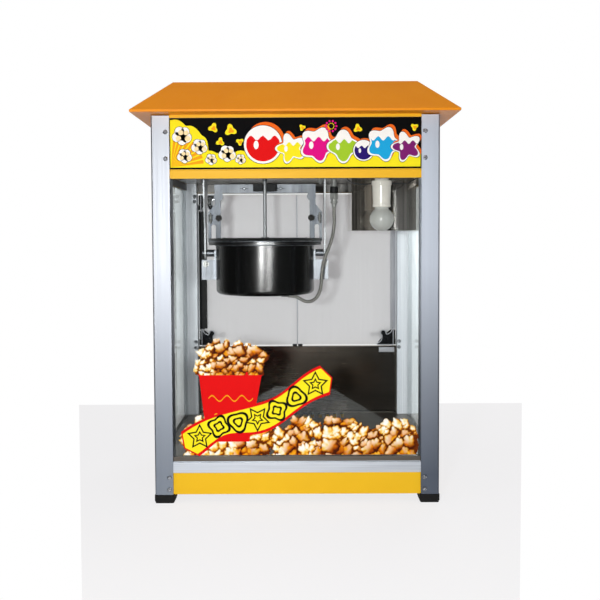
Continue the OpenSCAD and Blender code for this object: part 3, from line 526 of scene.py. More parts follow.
# colour and paler colour, roughness, sheen, scale of the specks, their depth
plastics = {
    "black": ("black plastic", (20, 20, 21), (32, 32, 34), 0.55, 0.3),
    "gloss": ("gloss black", (10, 11, 14), (16, 18, 24), 0.13, 0.6),
    "board": ("black sign board", (8, 8, 9), (12, 12, 13), 0.6, 0.04),
    "rubber": ("black rubber", (14, 14, 14), (24, 24, 24), 0.7, 0.25, 260, 0.4),
    "bearing": ("bearing plastic", (26, 27, 29), (40, 42, 46), 0.6, 0.3),
    "bakelite": ("handle bakelite", (24, 20, 18), (44, 36, 32), 0.22),
    "pad": ("grey pad", (206, 207, 214), (220, 221, 226), 0.5, 0.3),
    "wire": ("wire sleeve", (30, 30, 32), (46, 46, 50), 0.4),
    "motor": ("dark motor paint", (46, 50, 56), (60, 64, 70), 0.4),
}
finishes = {
    "rail": linedPaint("yellow rail paint", (240, 184, 20), (234, 176, 16), (120, 118, 116)),
    "braid": braid("braided steel hose", (140, 137, 130), (236, 233, 226)),
    "glass": clearGlass("cabinet glass", (0.975, 0.985, 0.982, 1), 0.8),
    "door": milkyPanel("door panel", tint(252, 252, 253), 0.88, 0.35),
    "ink": printInk("print ink"),
}
makers = ((drawnMetal, metals), (paintedGleamMetal, profiles), (enamel, paints), (plastic, plastics))
for maker, table in makers:
    finishes.update({key: maker(*values) for key, values in table.items()})
print("popcorn maker:", len(finishes), "finishes")

# Cords: the kettle's braided conduit, and the two wires of the lamp
conduit = {
    "route": [
        (73, 525), (73, 512), (73.4, 500), (72.6, 486), (70, 470), (65, 453), (59, 438), (53.5, 422),
        (50, 406), (48.5, 390), (47.5, 376), (44.5, 362), (38, 350), (28, 343.5), (17, 343), (7, 348),
        (-2, 352.6), (-10, 353.8), (-16, 353.8),
    ],
    "y": -30, "diameter": 7, "ridge": 0.7, "pitch": 4.2, "sides": 20, "stepsPerPitch": 8,
}
lampWires = {
    "left": [
        (140.8, -76, 567), (132, -76, 566), (120, -76, 566), (108, -74, 568), (98, -72, 574),
        (95, -72, 581), (95, -72, 583.6),
    ],
    "right": [
        (179.2, -76, 567), (188, -76, 567), (200, -76, 567), (212, -74, 569), (222, -72, 575),
        (225, -72, 581), (225, -72, 583.6),
    ],
    "diameter": 2, "step": 2, "sides": 12,
}


def makeConduit(route, y, diameter, ridge, pitch, sides, stepsPerPitch):
    route = smoothRoute([(x, y, z) for x, z in route], pitch / stepsPerPitch)

    def radiusAt(gone, angle):
        return diameter / 2 - ridge * (0.5 - 0.5 * math.cos(2 * math.pi * gone / pitch + angle))

    hose = addPiece("kettleConduit", tubeAlong(route, radiusAt, sides), "braid", None)
    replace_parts(hose, "kettle_conduit")
    path = [p * mm for p in route[::5]] + [route[-1] * mm]
    start, end = path[0], path[-1]
    measured = sum((b - a).length for a, b in zip(path[:-1], path[1:]))
    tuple(start)
    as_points(path)
    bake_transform(hose)
    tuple(start)
    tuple(end)
    print("popcorn maker: conduit", round(measured, 4), "m")


def makeLampWires(left, right, diameter, step, sides):
    tubes = [tubeAlong(smoothRoute(route, step), diameter / 2, sides) for route in (left, right)]
    wires = addPiece("lampWires", joined(*tubes), "wire", "cabinet")
    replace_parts(wires, "lamp_wires")


makeConduit(**conduit)
makeLampWires(**lampWires)

# The CAD nodes that stay: a finish and an eased edge, in millimetres, for each
dressing = {
    "post": (0.7, "left_front_post"),
    "shadePost": (0.7, "right_front_post"),
    "rearPost": (0.7, "left_rear_post", "right_rear_post"),
    "trim": (0.4, "front_trim", "side_trims"),
    "yellow": (0.35, "front_skirt", "side_skirts", "rear_lower_panel"),
    "rail": (0.35, "front_header", "side_headers", "rear_header"),
    "orange": (0.5, "roof"),
    "tray": (0.3, "tray_floor", "base_pan", "crumb_drawer"),
    "liner": (0.3, "rear_inner_wall"),
    "ceiling": (0.3, "ceiling_plate"),
    "mirror": (0.4, "wiring_box"),
    "jacket": (0.5, "kettle_jacket"),
    "pan": (0.4, "kettle_pan"),
    "shaft": (0.4, "stirrer", "left_hanger", "right_hanger"),
    "lid": (0.4, "front_lid", "rear_lid"),
    "plate": (0.4, "kettle_brackets"),
    "mount": (0.4, "kettle_yoke"),
    "cast": (1.5, "gearbox", "drive_hub"),
    "motor": (1.0, "drive_motor"),
    "heater": (0.5, "kettle_heater"),
    "black": (
        0.5, "left_door_strip", "hinge_bases", "door_magnets",
        "power_inlet", "switch_housings", "heat_switch", "motor_switch", "lamp_switch",
    ),
    "bearing": (0.8, "bearing_block"),
    "board": (0.3, "front_sign", "side_signs"),
    "glass": (0.3, "front_glass", "left_glass", "right_glass"),
    "door": (0.4, "left_door", "right_door"),
}
easing = {"weld": 0.02, "segments": 2, "angle": 38}


def dress(name, finish, ease):
    node = nodes[name]
    for slot in node.material_slots:
        slot.material = finish
    weld = node.modifiers.new("weld", "WELD")
    weld.merge_threshold = easing["weld"] * mm
    bevel = node.modifiers.new("ease", "BEVEL")
    bevel.width = ease * mm
    bevel.segments = easing["segments"]
    bevel.limit_method = "ANGLE"
    bevel.angle_limit = math.radians(easing["angle"])
    bevel.use_clamp_overlap = True
    shade = node.modifiers.new("shade", "WEIGHTED_NORMAL")
    shade.keep_sharp = True


for finish, (ease, *names) in dressing.items():
    for name in names:
        dress(name, finishes[finish], ease)
print("popcorn maker: nodes dressed")

# Lamp: a porcelain holder and an opal globe
lamp = {
    "spot": (160, -76, 0), "top": 584, "depth": 61, "holder": 17.5, "flange": 18.8, "bulb": 22.5, "cap": 13,
    "segments": 64,
}


def makeLamp(spot, top, depth, holder, flange, bulb, cap, segments):
    low, mouth, lip, neck = top - depth, cap + 0.6, holder - 0.6, holder - 4.6
    outline = [
        (mouth, low + 22, 0), (mouth, low, 1.2), (lip, low, 1.6), (lip, low + 4, 0.8),
        (holder - 1.4, low + 6, 0.8), (holder - 0.1, top - 21, 1), (flange, top - 20, 1.4),
        (flange, top - 12, 1.4), (neck, top - 11.4, 1), (neck, top, 0),
    ]
    shape = lathe(outline, spot, segments=segments)
    body = addPiece("lampHolder", shape, "porcelain", "cabinet")
    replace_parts(body, "lamp_holder")
    outline = [(x, y, 0) for x, y in arc(0, low - bulb, bulb, bulb, -90, 144, 24)]
    outline += [(cap, low - 1, 0), (cap, low + 20, 0), (0, low + 20, 0)]
    outline[0] = (0, low - 2 * bulb, 0)
    shape = lathe(outline, spot, segments=segments)
    globe = addPiece("lampBulb", shape, "opal", "cabinet")
    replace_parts(globe, "lamp_bulb")


makeLamp(**lamp)

# Screws: pan heads with a cross recess, on the posts and at the hinges
screwHead = {"head": 4, "rise": 2.3, "recess": 0.9, "arm": 2.3, "slot": 0.55, "rings": 7, "count": 32}
screws = {
    "halfW": 250, "halfD": 180, "fromCorner": 25.5, "heights": (24, 45.5, 604, 650),
    "hinge": (222, 148), "hingeHeights": (227, 240, 546, 557),
}


def panHead(centre, toward, head, rise, recess, arm, slot, rings, count):
    points = []
    out = Vector(toward)
    side = Vector((0, 0, 1)) if abs(out.z) < 0.5 else Vector((1, 0, 0))
    other = out.cross(side)
    for i in range(rings + 1):
        r = head * i / rings
        domed = rise * math.sqrt(max(0, 1 - (i / rings) ** 3.2))
        for k in range(count):
            t = 2 * math.pi * (k + 0.5) / count
            u, v = r * math.cos(t), r * math.sin(t)
            inSlot = min(abs(u), abs(v)) < slot and max(abs(u), abs(v)) < arm
            lift = domed - recess if inSlot else domed
            points.append(Vector(centre) + side * u + other * v + out * lift)
    return points, ringFaces(rings + 1, count)


def makeScrews(halfW, halfD, fromCorner, heights, hinge, hingeHeights):
    spots = []
    for sx in (-1, 1):
        for sy in (-1, 1):
            for z in heights:
                spots.append(((sx * (halfW - fromCorner), sy * halfD, z), (0, sy, 0)))
                spots.append(((sx * halfW, sy * (halfD - fromCorner), z), (sx, 0, 0)))
        spots += [((sx * hinge[0], hinge[1], z), (0, -1, 0)) for z in hingeHeights]
    heads = [panHead(*spot, **screwHead) for spot in spots]
    piece = addPiece("postScrews", joined(*heads), "plate", "cabinet")
    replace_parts(piece, "post_screws")


makeScrews(**screws)

# Conduit socket: flange, neck, rubber collar, hex nut and a ferrule over the hose
socket = {
    "x": 73, "y": -30, "top": 584, "low": 525, "hose": 3.6, "flange": 9.5, "neck": 5.2, "collar": 7.6,
    "nutFlats": 15, "nutTop": 552, "nutHeight": 12, "ring": 7.2, "threads": 8, "threadPitch": 1.6,
}


def hexagon(x, y, flats):
    r = flats / math.sqrt(3)
    return arc(x, y, r, r, 30, 300, 5)


def hexHead(centre, toward, flats, height):
    # a chamfered hexagon on a washer, with a stud's end, standing out along one axis
    axis = max(range(3), key=lambda k: abs(toward[k]))
    plane = ("yz", "xz", "xy")[axis]
    u, v = [c for k, c in enumerate(centre) if k != axis]

    def stood(outline, low, high, soft):
        ends = sorted(centre[axis] + toward[axis] * reach for reach in (low, high))
        return slab(outline, *ends, soft, plane)

    washer = stood(disc(u, v, flats * 0.78, 36), 0, 1.2, 0.3)
    head = stood(hexagon(u, v, flats), 1.2, 1.2 + height, height * 0.14)
    stud = stood(disc(u, v, flats * 0.3, 24), 1.1 + height, 2.4 + height, 0.5)
    return joined(washer, head, stud)


def makeSocket(
    x, y, top, low, hose, flange, neck, collar, nutFlats, nutTop, nutHeight, ring, threads, threadPitch,
):
    nutLow = nutTop - nutHeight
    upper = [(0, top, 0), (flange, top, 0), (flange, top - 3, 0.8), (neck + 1.6, top - 4.4, 0.6)]
    for k in range(threads):
        z = top - 6 - threadPitch * k
        upper += [(neck + 0.5, z, 0.2), (neck - 0.1, z - threadPitch / 2, 0.2)]
    upper += [(neck, nutTop + 12, 0.3), (0, nutTop + 12, 0)]
    lower = [
        (0, nutLow, 0), (ring - 1.6, nutLow, 0), (ring - 1.6, nutLow - 3, 0.8), (ring, nutLow - 4, 0.7),
        (ring, nutLow - 6.4, 0.9), (hose + 1.2, nutLow - 8, 0.6), (hose + 0.5, low, 0.3), (0, low, 0),
    ]
    sleeve = [
        (neck - 0.4, nutTop + 13, 0), (collar, nutTop + 12.4, 0.8), (collar, nutTop + 0.6, 0.8),
        (neck - 0.4, nutTop, 0),
    ]
    upper, lower, sleeve = (lathe(outline, (x, y, 0), segments=40) for outline in (upper, lower, sleeve))
    nut = slab(hexagon(x, y, nutFlats), nutLow, nutTop, 1.1, "xy")
    piece = sharpen(addPiece("conduitSocket", joined(upper, nut, lower), "bolt", "cabinet"))
    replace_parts(piece, "conduit_socket")
    addPiece("socketCollar", sleeve, "black", "cabinet")


makeSocket(**socket)

# Hinge leaves: a scrolled plate inside, a barrel, a clip round the door's edge and a strap outside, with a
# pale line round each scroll as a painted highlight
hinge = {
    "axis": (213, 184), "edge": 206, "inside": 176, "outside": 180,
    "barrel": 5, "tall": 21.3, "strapEnd": 162, "rim": 1.1, "relief": 3.4,
}
# where each leaf's scroll starts and points, and the foot of its barrel
hingeLevels = ((228, 1, 240.5), (562, -1, 540.5))
# the scroll's boss, lobe and knob: distance from the edge and the base, radius, sides, thickness, easing
hingeStuds = ((8, 12, 4.2, 28, 3.6, 1), (3, 9, 5.6, 28, 2.9, 1.2), (16, 27.4, 2.6, 24, 4.0, 1.2))
# how far in towards the middle each step of the relief lies, and its share of the height
reliefSteps = ((0, 0), (0, 0.55), (0.06, 1), (0.16, 1), (0.24, 0.45), (0.75, 0.35))


def scrollPlate():
    # a quarter-shaped plate with lobes, from its corner at the edge and the sill
    upper = arc(-16.5, 38.5, 14.5, 15, -6, -78, 12)
    lobe = arc(-22.5, 27, 6.4, 6.4, 48, 196, 16)
    lower = arc(-38.5, 16.5, 13, 13, 8, -84, 12)
    return [(0, 0), (0, 38), *upper, *lobe, *lower, (-37, 2.4), (-36, 0)]


def reliefPlate(outline, lift, rise):
    # an outline raised in steps toward its middle, with a rolled rim
    middle, count = middleOf(outline), len(outline)
    points = []
    for inset, share in reliefSteps:
        for p in outline:
            q = Vector(p).lerp(middle, inset)
            points.append(lift(q.x, q.y, rise * share))
    points.append(lift(middle.x, middle.y, rise * reliefSteps[-1][1]))
    faces = ringFaces(len(reliefSteps), count)
    last = len(points) - 1 - count
    faces += [(last + k, last + (k + 1) % count, len(points) - 1) for k in range(count)]
    faces.append(tuple(range(count))[::-1])
    return points, faces


def hingeLeaf(side, base, up, low, axis, edge, inside, outside, barrel, tall, strapEnd, rim, relief):
    def lift(u, v, w):
        return (side * (edge + 6.5 + u), inside - 0.15 - w, base + up * (v + 0.5))

    def mirrored(outline):
        return [(side * u, v) for u, v in outline]

    parts = [reliefPlate(scrollPlate(), lift, relief)]
    for out, rise, r, count, thick, soft in hingeStuds:
        stud = disc(side * (edge - out), base + up * rise, r, count)
        parts.append(slab(stud, inside - thick, inside - 0.2, soft))
    high, middle = low + tall, low + tall / 2
    outline = [(0, low, 0), (barrel, low, 0.6), (barrel, high - 1, 1), (2.4, high, 0.8), (0, high, 0)]
    parts.append(lathe(outline, (side * axis[0], axis[1], 0), segments=32))
    waist = [(edge - 16 - 2 * k, 6 + 4.5 * math.cos(math.pi * k / 8)) for k in range(1, 9)]
    strap = [(axis[0] - 1, low), (axis[0] - 1, high), (edge - 10, high)]
    strap += [(u, middle + v) for u, v in waist] + arc(strapEnd + 6, middle, -7.5, 7.5, 70, -140, 12)
    strap += [(u, middle - v) for u, v in waist[::-1]] + [(edge - 10, low)]
    parts.append(slab(mirrored(strap), outside + 0.1, outside + 2, 0.6))
    clip = [(edge + 0.3, low), (edge + 0.3, high), (edge + 2.6, high), (edge + 2.6, low)]
    parts.append(slab(mirrored(clip), inside - 2, outside + 2, 0.5))
    # a pale tube along the scroll's raised edge: a painted highlight
    highlightLine = [Vector(lift(u * 0.97 - 0.5, v * 0.97 + 0.4, relief - 0.1)) for u, v in scrollPlate()]
    return joined(*parts), tubeAlong(highlightLine + highlightLine[:1], rim, 8)


def makeHinges():
    for side, name in ((-1, "left"), (1, "right")):
        leaves, highlightRims = zip(*(hingeLeaf(side, *level, **hinge) for level in hingeLevels))
        piece = addPiece(name + "HingeLeaves", joined(*leaves), "gloss", name + "_door")
        addPiece(name + "HingeRims", joined(*highlightRims), "pad", name + "_door")
        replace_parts(sharpen(piece, 30), name + "_hinge_leaves")


makeHinges()

# Door edges: a soft seal at the left, clear strips at the right and over the seam, pads by the hinges
seals = {
    "edge": 206.1, "post": 217.3, "ends": (263.2, 526.8), "seam": (-1.45, 229.5, 1.15, 561.5),
    "inside": 176.3, "outside": 178.6, "pad": (179, 214, 213, 224.5), "padDepth": (161.2, 163.4),
}


def makeSeals(edge, post, ends, seam, inside, outside, pad, padDepth):
    low, high = ends
    left = slab(rectangle(-post, low, -edge, high), inside, outside, 0.5)
    addPiece("leftDoorSeal", left, "black", "left_door")
    right = slab(rectangle(post, low, edge, high), inside, outside, 0.5)
    addPiece("rightDoorSeal", right, "pad", "right_door")
    lip = slab(rectangle(*seam), inside + 1.4, outside + 1.2, 0.2)
    addPiece("seamLip", lip, "pad", "left_door")
    pads = [slab([(side * x, z) for x, z in rectangle(*pad)], *padDepth, 0.6) for side in (-1, 1)]
    addPiece("hingePads", joined(*pads), "pad", "cabinet")


makeSeals(**seals)

# Knobs, feet and the turned handle
knobs = {"x": 22, "z": 400, "inside": 173.5, "outside": 180, "rim": 8.5, "waist": 4.4, "length": 13}
feet = {"half": 17.5, "x": 233.5, "y": 163.5, "height": 15, "lip": 2.2, "corner": 3.2, "waist": 0.94}
handle = {
    "middle": -62, "y": 128, "z": 420, "length": 90, "grip": 8.5, "rod": 30, "rodWidth": 6, "jacket": 96.5,
}


def makeKnobs(x, z, inside, outside, rim, waist, length):
    y, end = outside, outside + length
    outer = [
        (0, y - 1, 0), (waist + 1.6, y, 0), (waist + 1.2, y + 1, 0.6), (waist, y + 3.4, 1.6),
        (rim, y + 8.4, 1.4), (rim, end - 3, 1.6), (rim - 2.2, end, 1.8), (rim - 5, end - 0.7, 1),
        (0, end - 0.7, 0),
    ]
    inner = [(0, y - 1, 0), (4.5, y - 4.2, 0.4), (4.5, inside + 0.4, 0.8), (0, inside, 0)]
    for side, name in ((-1, "left"), (1, "right")):
        spot = (side * x, 0, z)
        shape = joined(lathe(outer, spot, "y", 48), lathe(inner, spot, "y", 32))
        piece = addPiece(name + "DoorKnob", shape, "black", name + "_door")
        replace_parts(sharpen(piece, 40), name + "_door_knob")


def makeFeet(half, x, y, height, lip, corner, waist):
    blocks = []
    flat = half - corner
    for cx, cy in ((-x, -y), (-x, y), (x, -y), (x, y)):
        ring = []
        for k, (a, b) in enumerate(((1, 1), (-1, 1), (-1, -1), (1, -1))):
            ring += arc(cx + a * flat, cy + b * flat, corner, corner, 90 * k, 90, 6)
        shrunk = [(cx + (u - cx) * waist, cy + (v - cy) * waist) for u, v in ring]
        blocks += [slab(ring, lip + 0.9, height, 0.7, "xy"), slab(shrunk, 0, lip + 1.2, 0.6, "xy")]
    piece = addPiece("rubberFeet", joined(*blocks), "rubber", "cabinet")
    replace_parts(sharpen(piece, 30), "rubber_feet")


def makeHandle(middle, y, z, length, grip, rod, rodWidth, jacket):
    half = length / 2
    tip = [(0, -half, 0), (grip - 3, -half, 1.4), (grip - 1.2, 3 - half, 1.2)]
    swell = [(grip - 1.6 * t * t, t * (half - 6), 3) for t in (-1 + k / 4 for k in range(9))]
    outline = tip + swell + [(r, -u, soft) for r, u, soft in tip[::-1]]
    outline = [(r, middle + u, soft) for r, u, soft in outline]
    shape = lathe(outline, (0, y, z), "x", 48)
    piece = addPiece("kettleHandle", shape, "bakelite", "kettle")
    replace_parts(piece, "kettle_handle")
    start, r = math.sqrt(jacket**2 - rod**2), rodWidth / 2
    outline = [
        (0, start + 0.2, 0), (7, start + 0.2, 0), (7, start + 2.4, 0.8), (r, start + 4, 0.6),
        (r, y - 6, 0), (0, y - 6, 0),
    ]
    rods = [lathe(outline, (middle + side * rod, 0, z), "y", 32) for side in (-1, 1)]
    sharpen(addPiece("handleRods", joined(*rods), "bolt", "kettle"), 30)


makeKnobs(**knobs)
makeFeet(**feet)
makeHandle(**handle)

# Fastenings and small fittings: bolts, springs, beads on the kettle's rim, marks on the yoke's bar
footBolts = [(x, y, 581) for x in (-188, 47) for y in (-16, 16)]
bolts = (
    ("hangerBolts", "bolt", "cabinet", (0, 0, -1), 9, 4, footBolts),
    ("kettleBolts", "bolt", "kettle", (0, -1, 0), 8, 3.4, [(-178, -14, 416), (54, -14, 416)]),
    ("yokeBolts", "heater", "kettle", (0, -1, 0), 8, 3, [(-153, -2.5, 506), (29, -2.5, 506)]),
)
springs = {
    "places": ((-170, 2), (46, 2)), "low": 499, "high": 512, "turns": 6, "radius": 3.2, "wire": 0.75,
}
beads = {"centre": -62, "rings": ((110, 1.5, 460.2), (98.2, 0.9, 452.6)), "steps": 144, "sides": 10}
barMarks = {"xs": (-103, -31), "face": 5.5, "z": 564}


def makeBolts():
    for name, finish, body, toward, flats, height, places in bolts:
        heads = [hexHead(place, toward, flats, height) for place in places]
        sharpen(addPiece(name, joined(*heads), finish, body), 25)


def makeSprings(places, low, high, turns, radius, wire, perTurn=20):
    coils = []
    count = turns * perTurn
    for x, y in places:
        circle = arc(x, y, radius, radius, 0, 360 * turns, count)
        route = [Vector((u, v, low + (high - low) * k / count)) for k, (u, v) in enumerate(circle)]
        coils += [tubeAlong(route, wire, 8), slab(disc(x, y, 1.6, 16), low - 4, high + 5, 0.3, "xy")]
    addPiece("lidSprings", joined(*coils), "bolt", "kettle")


def makeBeads(centre, rings, steps, sides):
    shapes = []
    for r, tube, z in rings:
        section = disc(r, z, tube, sides)
        turns = [2 * math.pi * k / steps for k in range(steps)]
        points = [(centre + u * math.cos(t), u * math.sin(t), v) for t in turns for u, v in section]
        shapes.append((points, ringFaces(steps, sides, closed=True)))
    addPiece("kettleBeads", joined(*shapes), "plate", "kettle")


def makeBarMarks(xs, face, z):
    # a dark lozenge with two thin arms, painted shade standing for a lanced opening, and a bright stud on
    # it
    lozenge = ((-1, 0), (0, 1), (1, 0), (0, -1))
    arm = ((4, -0.5), (9, -0.25), (9, 0.25), (4, 0.5))
    dark, bright = [], []
    for x in xs:
        dark.append(slab([(x + 4.6 * u, z + 3.6 * v) for u, v in lozenge], face - 0.35, face))
        dark += [slab([(x + side * u, z + v) for u, v in arm], face - 0.3, face) for side in (-1, 1)]
        bright.append(slab([(x + 2.6 * u, z + 2 * v) for u, v in lozenge], face - 0.8, face - 0.3))
    addPiece("barLances", joined(*dark), "black", "kettle", smooth=False)
    addPiece("barStuds", joined(*bright), "plate", "kettle", smooth=False)


makeBolts()
makeSprings(**springs)
makeBeads(**beads)
makeBarMarks(**barMarks)
print("popcorn maker: fittings made")

# Prints: flat inks in thin layers, with popcorn, glossy sweets and ribbons as motifs
inks = {
    "yellow": tint(252, 234, 34), "amber": tint(245, 166, 24), "orange": tint(238, 106, 28),
    "red": tint(228, 14, 16), "white": tint(250, 248, 244), "cream": tint(252, 228, 176),
    "black": tint(10, 10, 10), "pink": tint(226, 10, 132), "lime": tint(164, 204, 46),
    "navy": tint(40, 22, 110), "sky": tint(30, 168, 224), "purple": tint(126, 32, 110),
}
layerStep = 0.012


class Print:
    # gathers flat shapes, each a little in front of the last
    def __init__(self, place):
        self.place, self.level = place, 0
        self.points, self.faces, self.colours = [], [], []

    def grid(self, points, faces, colours, higher=True):
        self.level += higher
        start = len(self.points)
        self.points += [self.place(u, v, self.level * layerStep) for u, v in points]
        self.faces += [tuple(i + start for i in face) for face in faces]
        self.colours += colours

    def lay(self, outline, ink, higher=True):
        self.grid(outline, [range(len(outline))], [inks[ink]] * len(outline), higher)

    def finish(self, name):
        piece = addPiece(name, (self.points, self.faces), "ink", "cabinet", smooth=False)
        paint = piece.data.color_attributes.new("ink", "FLOAT_COLOR", "POINT")
        paint.data.foreach_set("color", np.array(self.colours, dtype=np.float32).ravel())


def starOutline(x, y, outer, inner, tips, turn):
    made = []
    for k in range(2 * tips):
        r = inner if k % 2 else outer
        t = math.radians(turn) + math.pi * k / tips
        made.append((x + r * math.cos(t), y + r * math.sin(t)))
    return made


def petals(x, y, r, count, depth, turn, steps=96):
    made = []
    for k in range(steps):
        t = 2 * math.pi * k / steps
        reach = r * (1 - depth + depth * math.cos(count * t + turn))
        made.append((x + reach * math.cos(t), y + reach * math.sin(t)))
    return made


def dripped(outline, level, wave, pitch):
    # the part of an outline below a wavy line
    return [(x, min(y, level + wave * math.sin(x / pitch * 2 * math.pi))) for x, y in outline]


# size, petals, depth and turn of each petalled sweet
sweetShapes = {
    "flower": (1.1, 5, 0.13, 0.5), "star": (1.18, 5, 0.2, math.pi), "clover": (1.12, 4, 0.15, 0.0),
}


def sweet(page, kind, x, y, r, ink):
    # one glossy sweet: a cast shape in orange, a white rim, its colour, and a shine
    def shape(q):
        if kind == "ball":
            return disc(x, y, q)
        size, *lobes = sweetShapes[kind]
        return petals(x, y, q * size, *lobes)

    page.lay([(u + 0.14 * r, v + 0.18 * r) for u, v in shape(r)], "orange")
    page.lay(shape(r + 0.9), "black")
    page.lay(shape(r), "white")
    page.lay(dripped(shape(r * 0.88), y + r * 0.34, r * 0.13, r * 0.62), ink)
    page.lay(disc(x - r * 0.36, y - r * 0.02, r * 0.13, 24, 1.7), "white")


# a puff's lobes: across, up and radius; its layers: how many lobes, shift, share, margin, sides and ink
puffLobes = (
    (-0.5, -0.15, 0.5), (0.45, -0.2, 0.52), (-0.25, 0.42, 0.48),
    (0.3, 0.4, 0.44), (0, -0.5, 0.46), (0, 0, 0.5),
)
puffLayers = ((6, 0, 1, 0.7, 24, "black"), (6, 0, 1, 0, 24, "white"), (4, 0.12, 0.55, 0, 20, "cream"))


def puff(page, x, y, r):
    # one small popped kernel: its lobes in black, then white, and cream in their shade
    for count, shift, share, more, sides, ink in puffLayers:
        for k, (a, b, c) in enumerate(puffLobes[:count]):
            place = (x + a * r + shift * r, y + b * r - shift * r)
            page.lay(disc(*place, c * r * share + more, sides), ink, k == 0)


signPrint = {
    "halfWidth": 216.5, "bumpPitch": 27,
    "sweets": [
        ("ball", -56, 41, 33, "red"), ("star", -8, 34, 23, "yellow"), ("flower", 38, 40, 29, "pink"),
        ("clover", 83, 37, 26, "lime"), ("ball", 118, 30, 18, "navy"), ("flower", 152, 41, 28, "sky"),
        ("star", 192, 36, 23, "purple"),
    ],
    "puffs": [(-196, 57, 17), (-166, 38, 14), (-192, 22, 13), (-118, 26, 15), (-146, 16, 10), (-95, 16, 9)],
    "kernels": [
        (-142, 70, 9), (-112, 66, 11), (-130, 46, 8), (-96, 46, 7), (12, 70, 6), (108, 68, 8), (206, 70, 7),
    ],
    "rosette": (62, 72, 9),
}
sidePrint = {
    "halfWidth": 156, "bumpPitch": 24,
    "sweets": [
        ("flower", -62, 40, 29, "pink"), ("ball", -14, 36, 24, "sky"), ("star", 34, 42, 30, "red"),
        ("clover", 84, 36, 24, "lime"),
    ],
    "puffs": [(-128, 50, 17), (-104, 24, 12), (124, 44, 15), (134, 20, 10)],
    "kernels": [(-96, 68, 8), (6, 70, 7), (60, 14, 6), (108, 70, 8)],
    "rosette": (62, 76, 8),
}
signs = {
    "low": 587, "high": 673.5, "field": 26, "bump": 5, "corner": 66, "rays": 9, "rayReach": 58,
    "front": -177.03, "side": 247.03,
}


def signPage(settings, place):
    page = Print(place)
    half, field, reach = settings["halfWidth"], signs["field"], signs["rayReach"]
    high = signs["high"] - signs["low"]
    top = []
    for k in range(217):
        x = -half + 2 * half * k / 216
        rise = field + signs["bump"] * abs(math.sin(math.pi * x / settings["bumpPitch"]))
        corner = max(0.0, 1 - (x + half) / signs["corner"]) ** 0.35 * (high - 3 - field)
        top.append((x, min(high - 1, rise + corner)))
    page.lay([(-half, 2), (half, 2)] + top[::-1], "yellow")
    for k in range(signs["rays"]):
        tip = arc(-half, 3, reach, reach, 6 + 9 * k, math.degrees(0.11), 1)
        page.lay([(1 - half, 3)] + tip, "amber", k == 0)
    for x, y, r in settings["kernels"]:
        page.lay(petals(x, y, r, 3, 0.22, x), "yellow")
        page.lay(petals(x + 0.8, y - 0.8, r * 0.5, 3, 0.2, x), "amber")
    for spot in settings["puffs"]:
        puff(page, *spot)
    for spot in settings["sweets"]:
        sweet(page, *spot)
    x, y, r = settings["rosette"]
    for k in range(10):
        u, v = math.cos(2 * math.pi * k / 10), math.sin(2 * math.pi * k / 10)
        page.lay(disc(x + r * u, y + r * v, r * 0.2, 16), "pink", k == 0)
        page.lay(disc(x + r * 0.55 * u, y + r * 0.55 * v, r * 0.1, 12), "yellow", False)
    return page


def makeSigns():
    front, side, low = signs["front"], signs["side"], signs["low"]
    signPage(signPrint, lambda u, v, w: (u, front - w, low + v)).finish("frontSignPrint")
    signPage(sidePrint, lambda u, v, w: (-side - w, -u, low + v)).finish("leftSignPrint")
    signPage(sidePrint, lambda u, v, w: (side + w, u, low + v)).finish("rightSignPrint")


makeSigns()

# Transfer on the front pane: a heap of popcorn, a tub with wavy lines and a ribbon
transfer = {
    "face": -175.04, "cell": 1.1, "left": -205, "right": 216, "low": 84,
    "tubTop": (-172, -60), "tubFoot": (-158, -84), "tubHigh": 232, "tubLow": 108,
    "ribbonStart": (-188, 104), "ribbonEnd": (50, 208), "ribbonHalf": 27, "ribbonWave": 9,
    "ribbonTurns": 1.3, "motifs": 7,
}
# rows of the pane's heap: height, size, count; and of the tub's: height, half width, count, size
paneRows = ((43, 23, 14), (24, 27, 13), (5, 25, 14))
tubRows = ((38, 22, 3, 23), (24, 40, 4, 23), (10, 46, 5, 21), (1, 42, 5, 17))
# tones of popped flesh and of toffee, from shade to light
flesh = [
    (0.0, (104, 40, 0)), (0.16, (204, 108, 4)), (0.3, (246, 176, 34)), (0.4, (252, 220, 124)),
    (0.54, (254, 244, 212)), (0.72, (255, 255, 250)),
]
toffee = [
    (0.0, (70, 22, 0)), (0.28, (158, 66, 0)), (0.52, (222, 122, 2)), (0.76, (246, 176, 30)),
    (1.0, (254, 222, 110)),
]


def kernelLobes(dice):
    # one kernel: whether its hull faces the front, and its lobes as (across, up, size, lift)
    facing = dice.random() < 0.5
    lobes = [(dice.uniform(-0.12, 0.12), dice.uniform(-0.12, 0.12), dice.uniform(0.5, 0.62), -5)]
    turn, count = dice.uniform(0, 6.28), dice.randint(4, 5)
    for n in range(count):
        t = turn + 2 * math.pi * n / count + dice.uniform(-0.4, 0.4)
        away = dice.uniform(0.44, 0.66)
        spot = away * math.cos(t), away * math.sin(t)
        lobes.append((*spot, dice.uniform(0.4, 0.62), dice.uniform(-3, 3)))
    for n in range(0 if facing else dice.randint(2, 3)):
        spot = dice.uniform(-0.35, 0.35), dice.uniform(-0.35, 0.35)
        lobes.append((*spot, dice.uniform(0.3, 0.46), dice.uniform(2, 6)))
    return facing, lobes


def toned(tone, stops):
    # the colour of each point, between the stops
    places = [t for t, c in stops]
    return [np.interp(tone, places, [tint(*c)[index] for t, c in stops]) for index in range(3)]


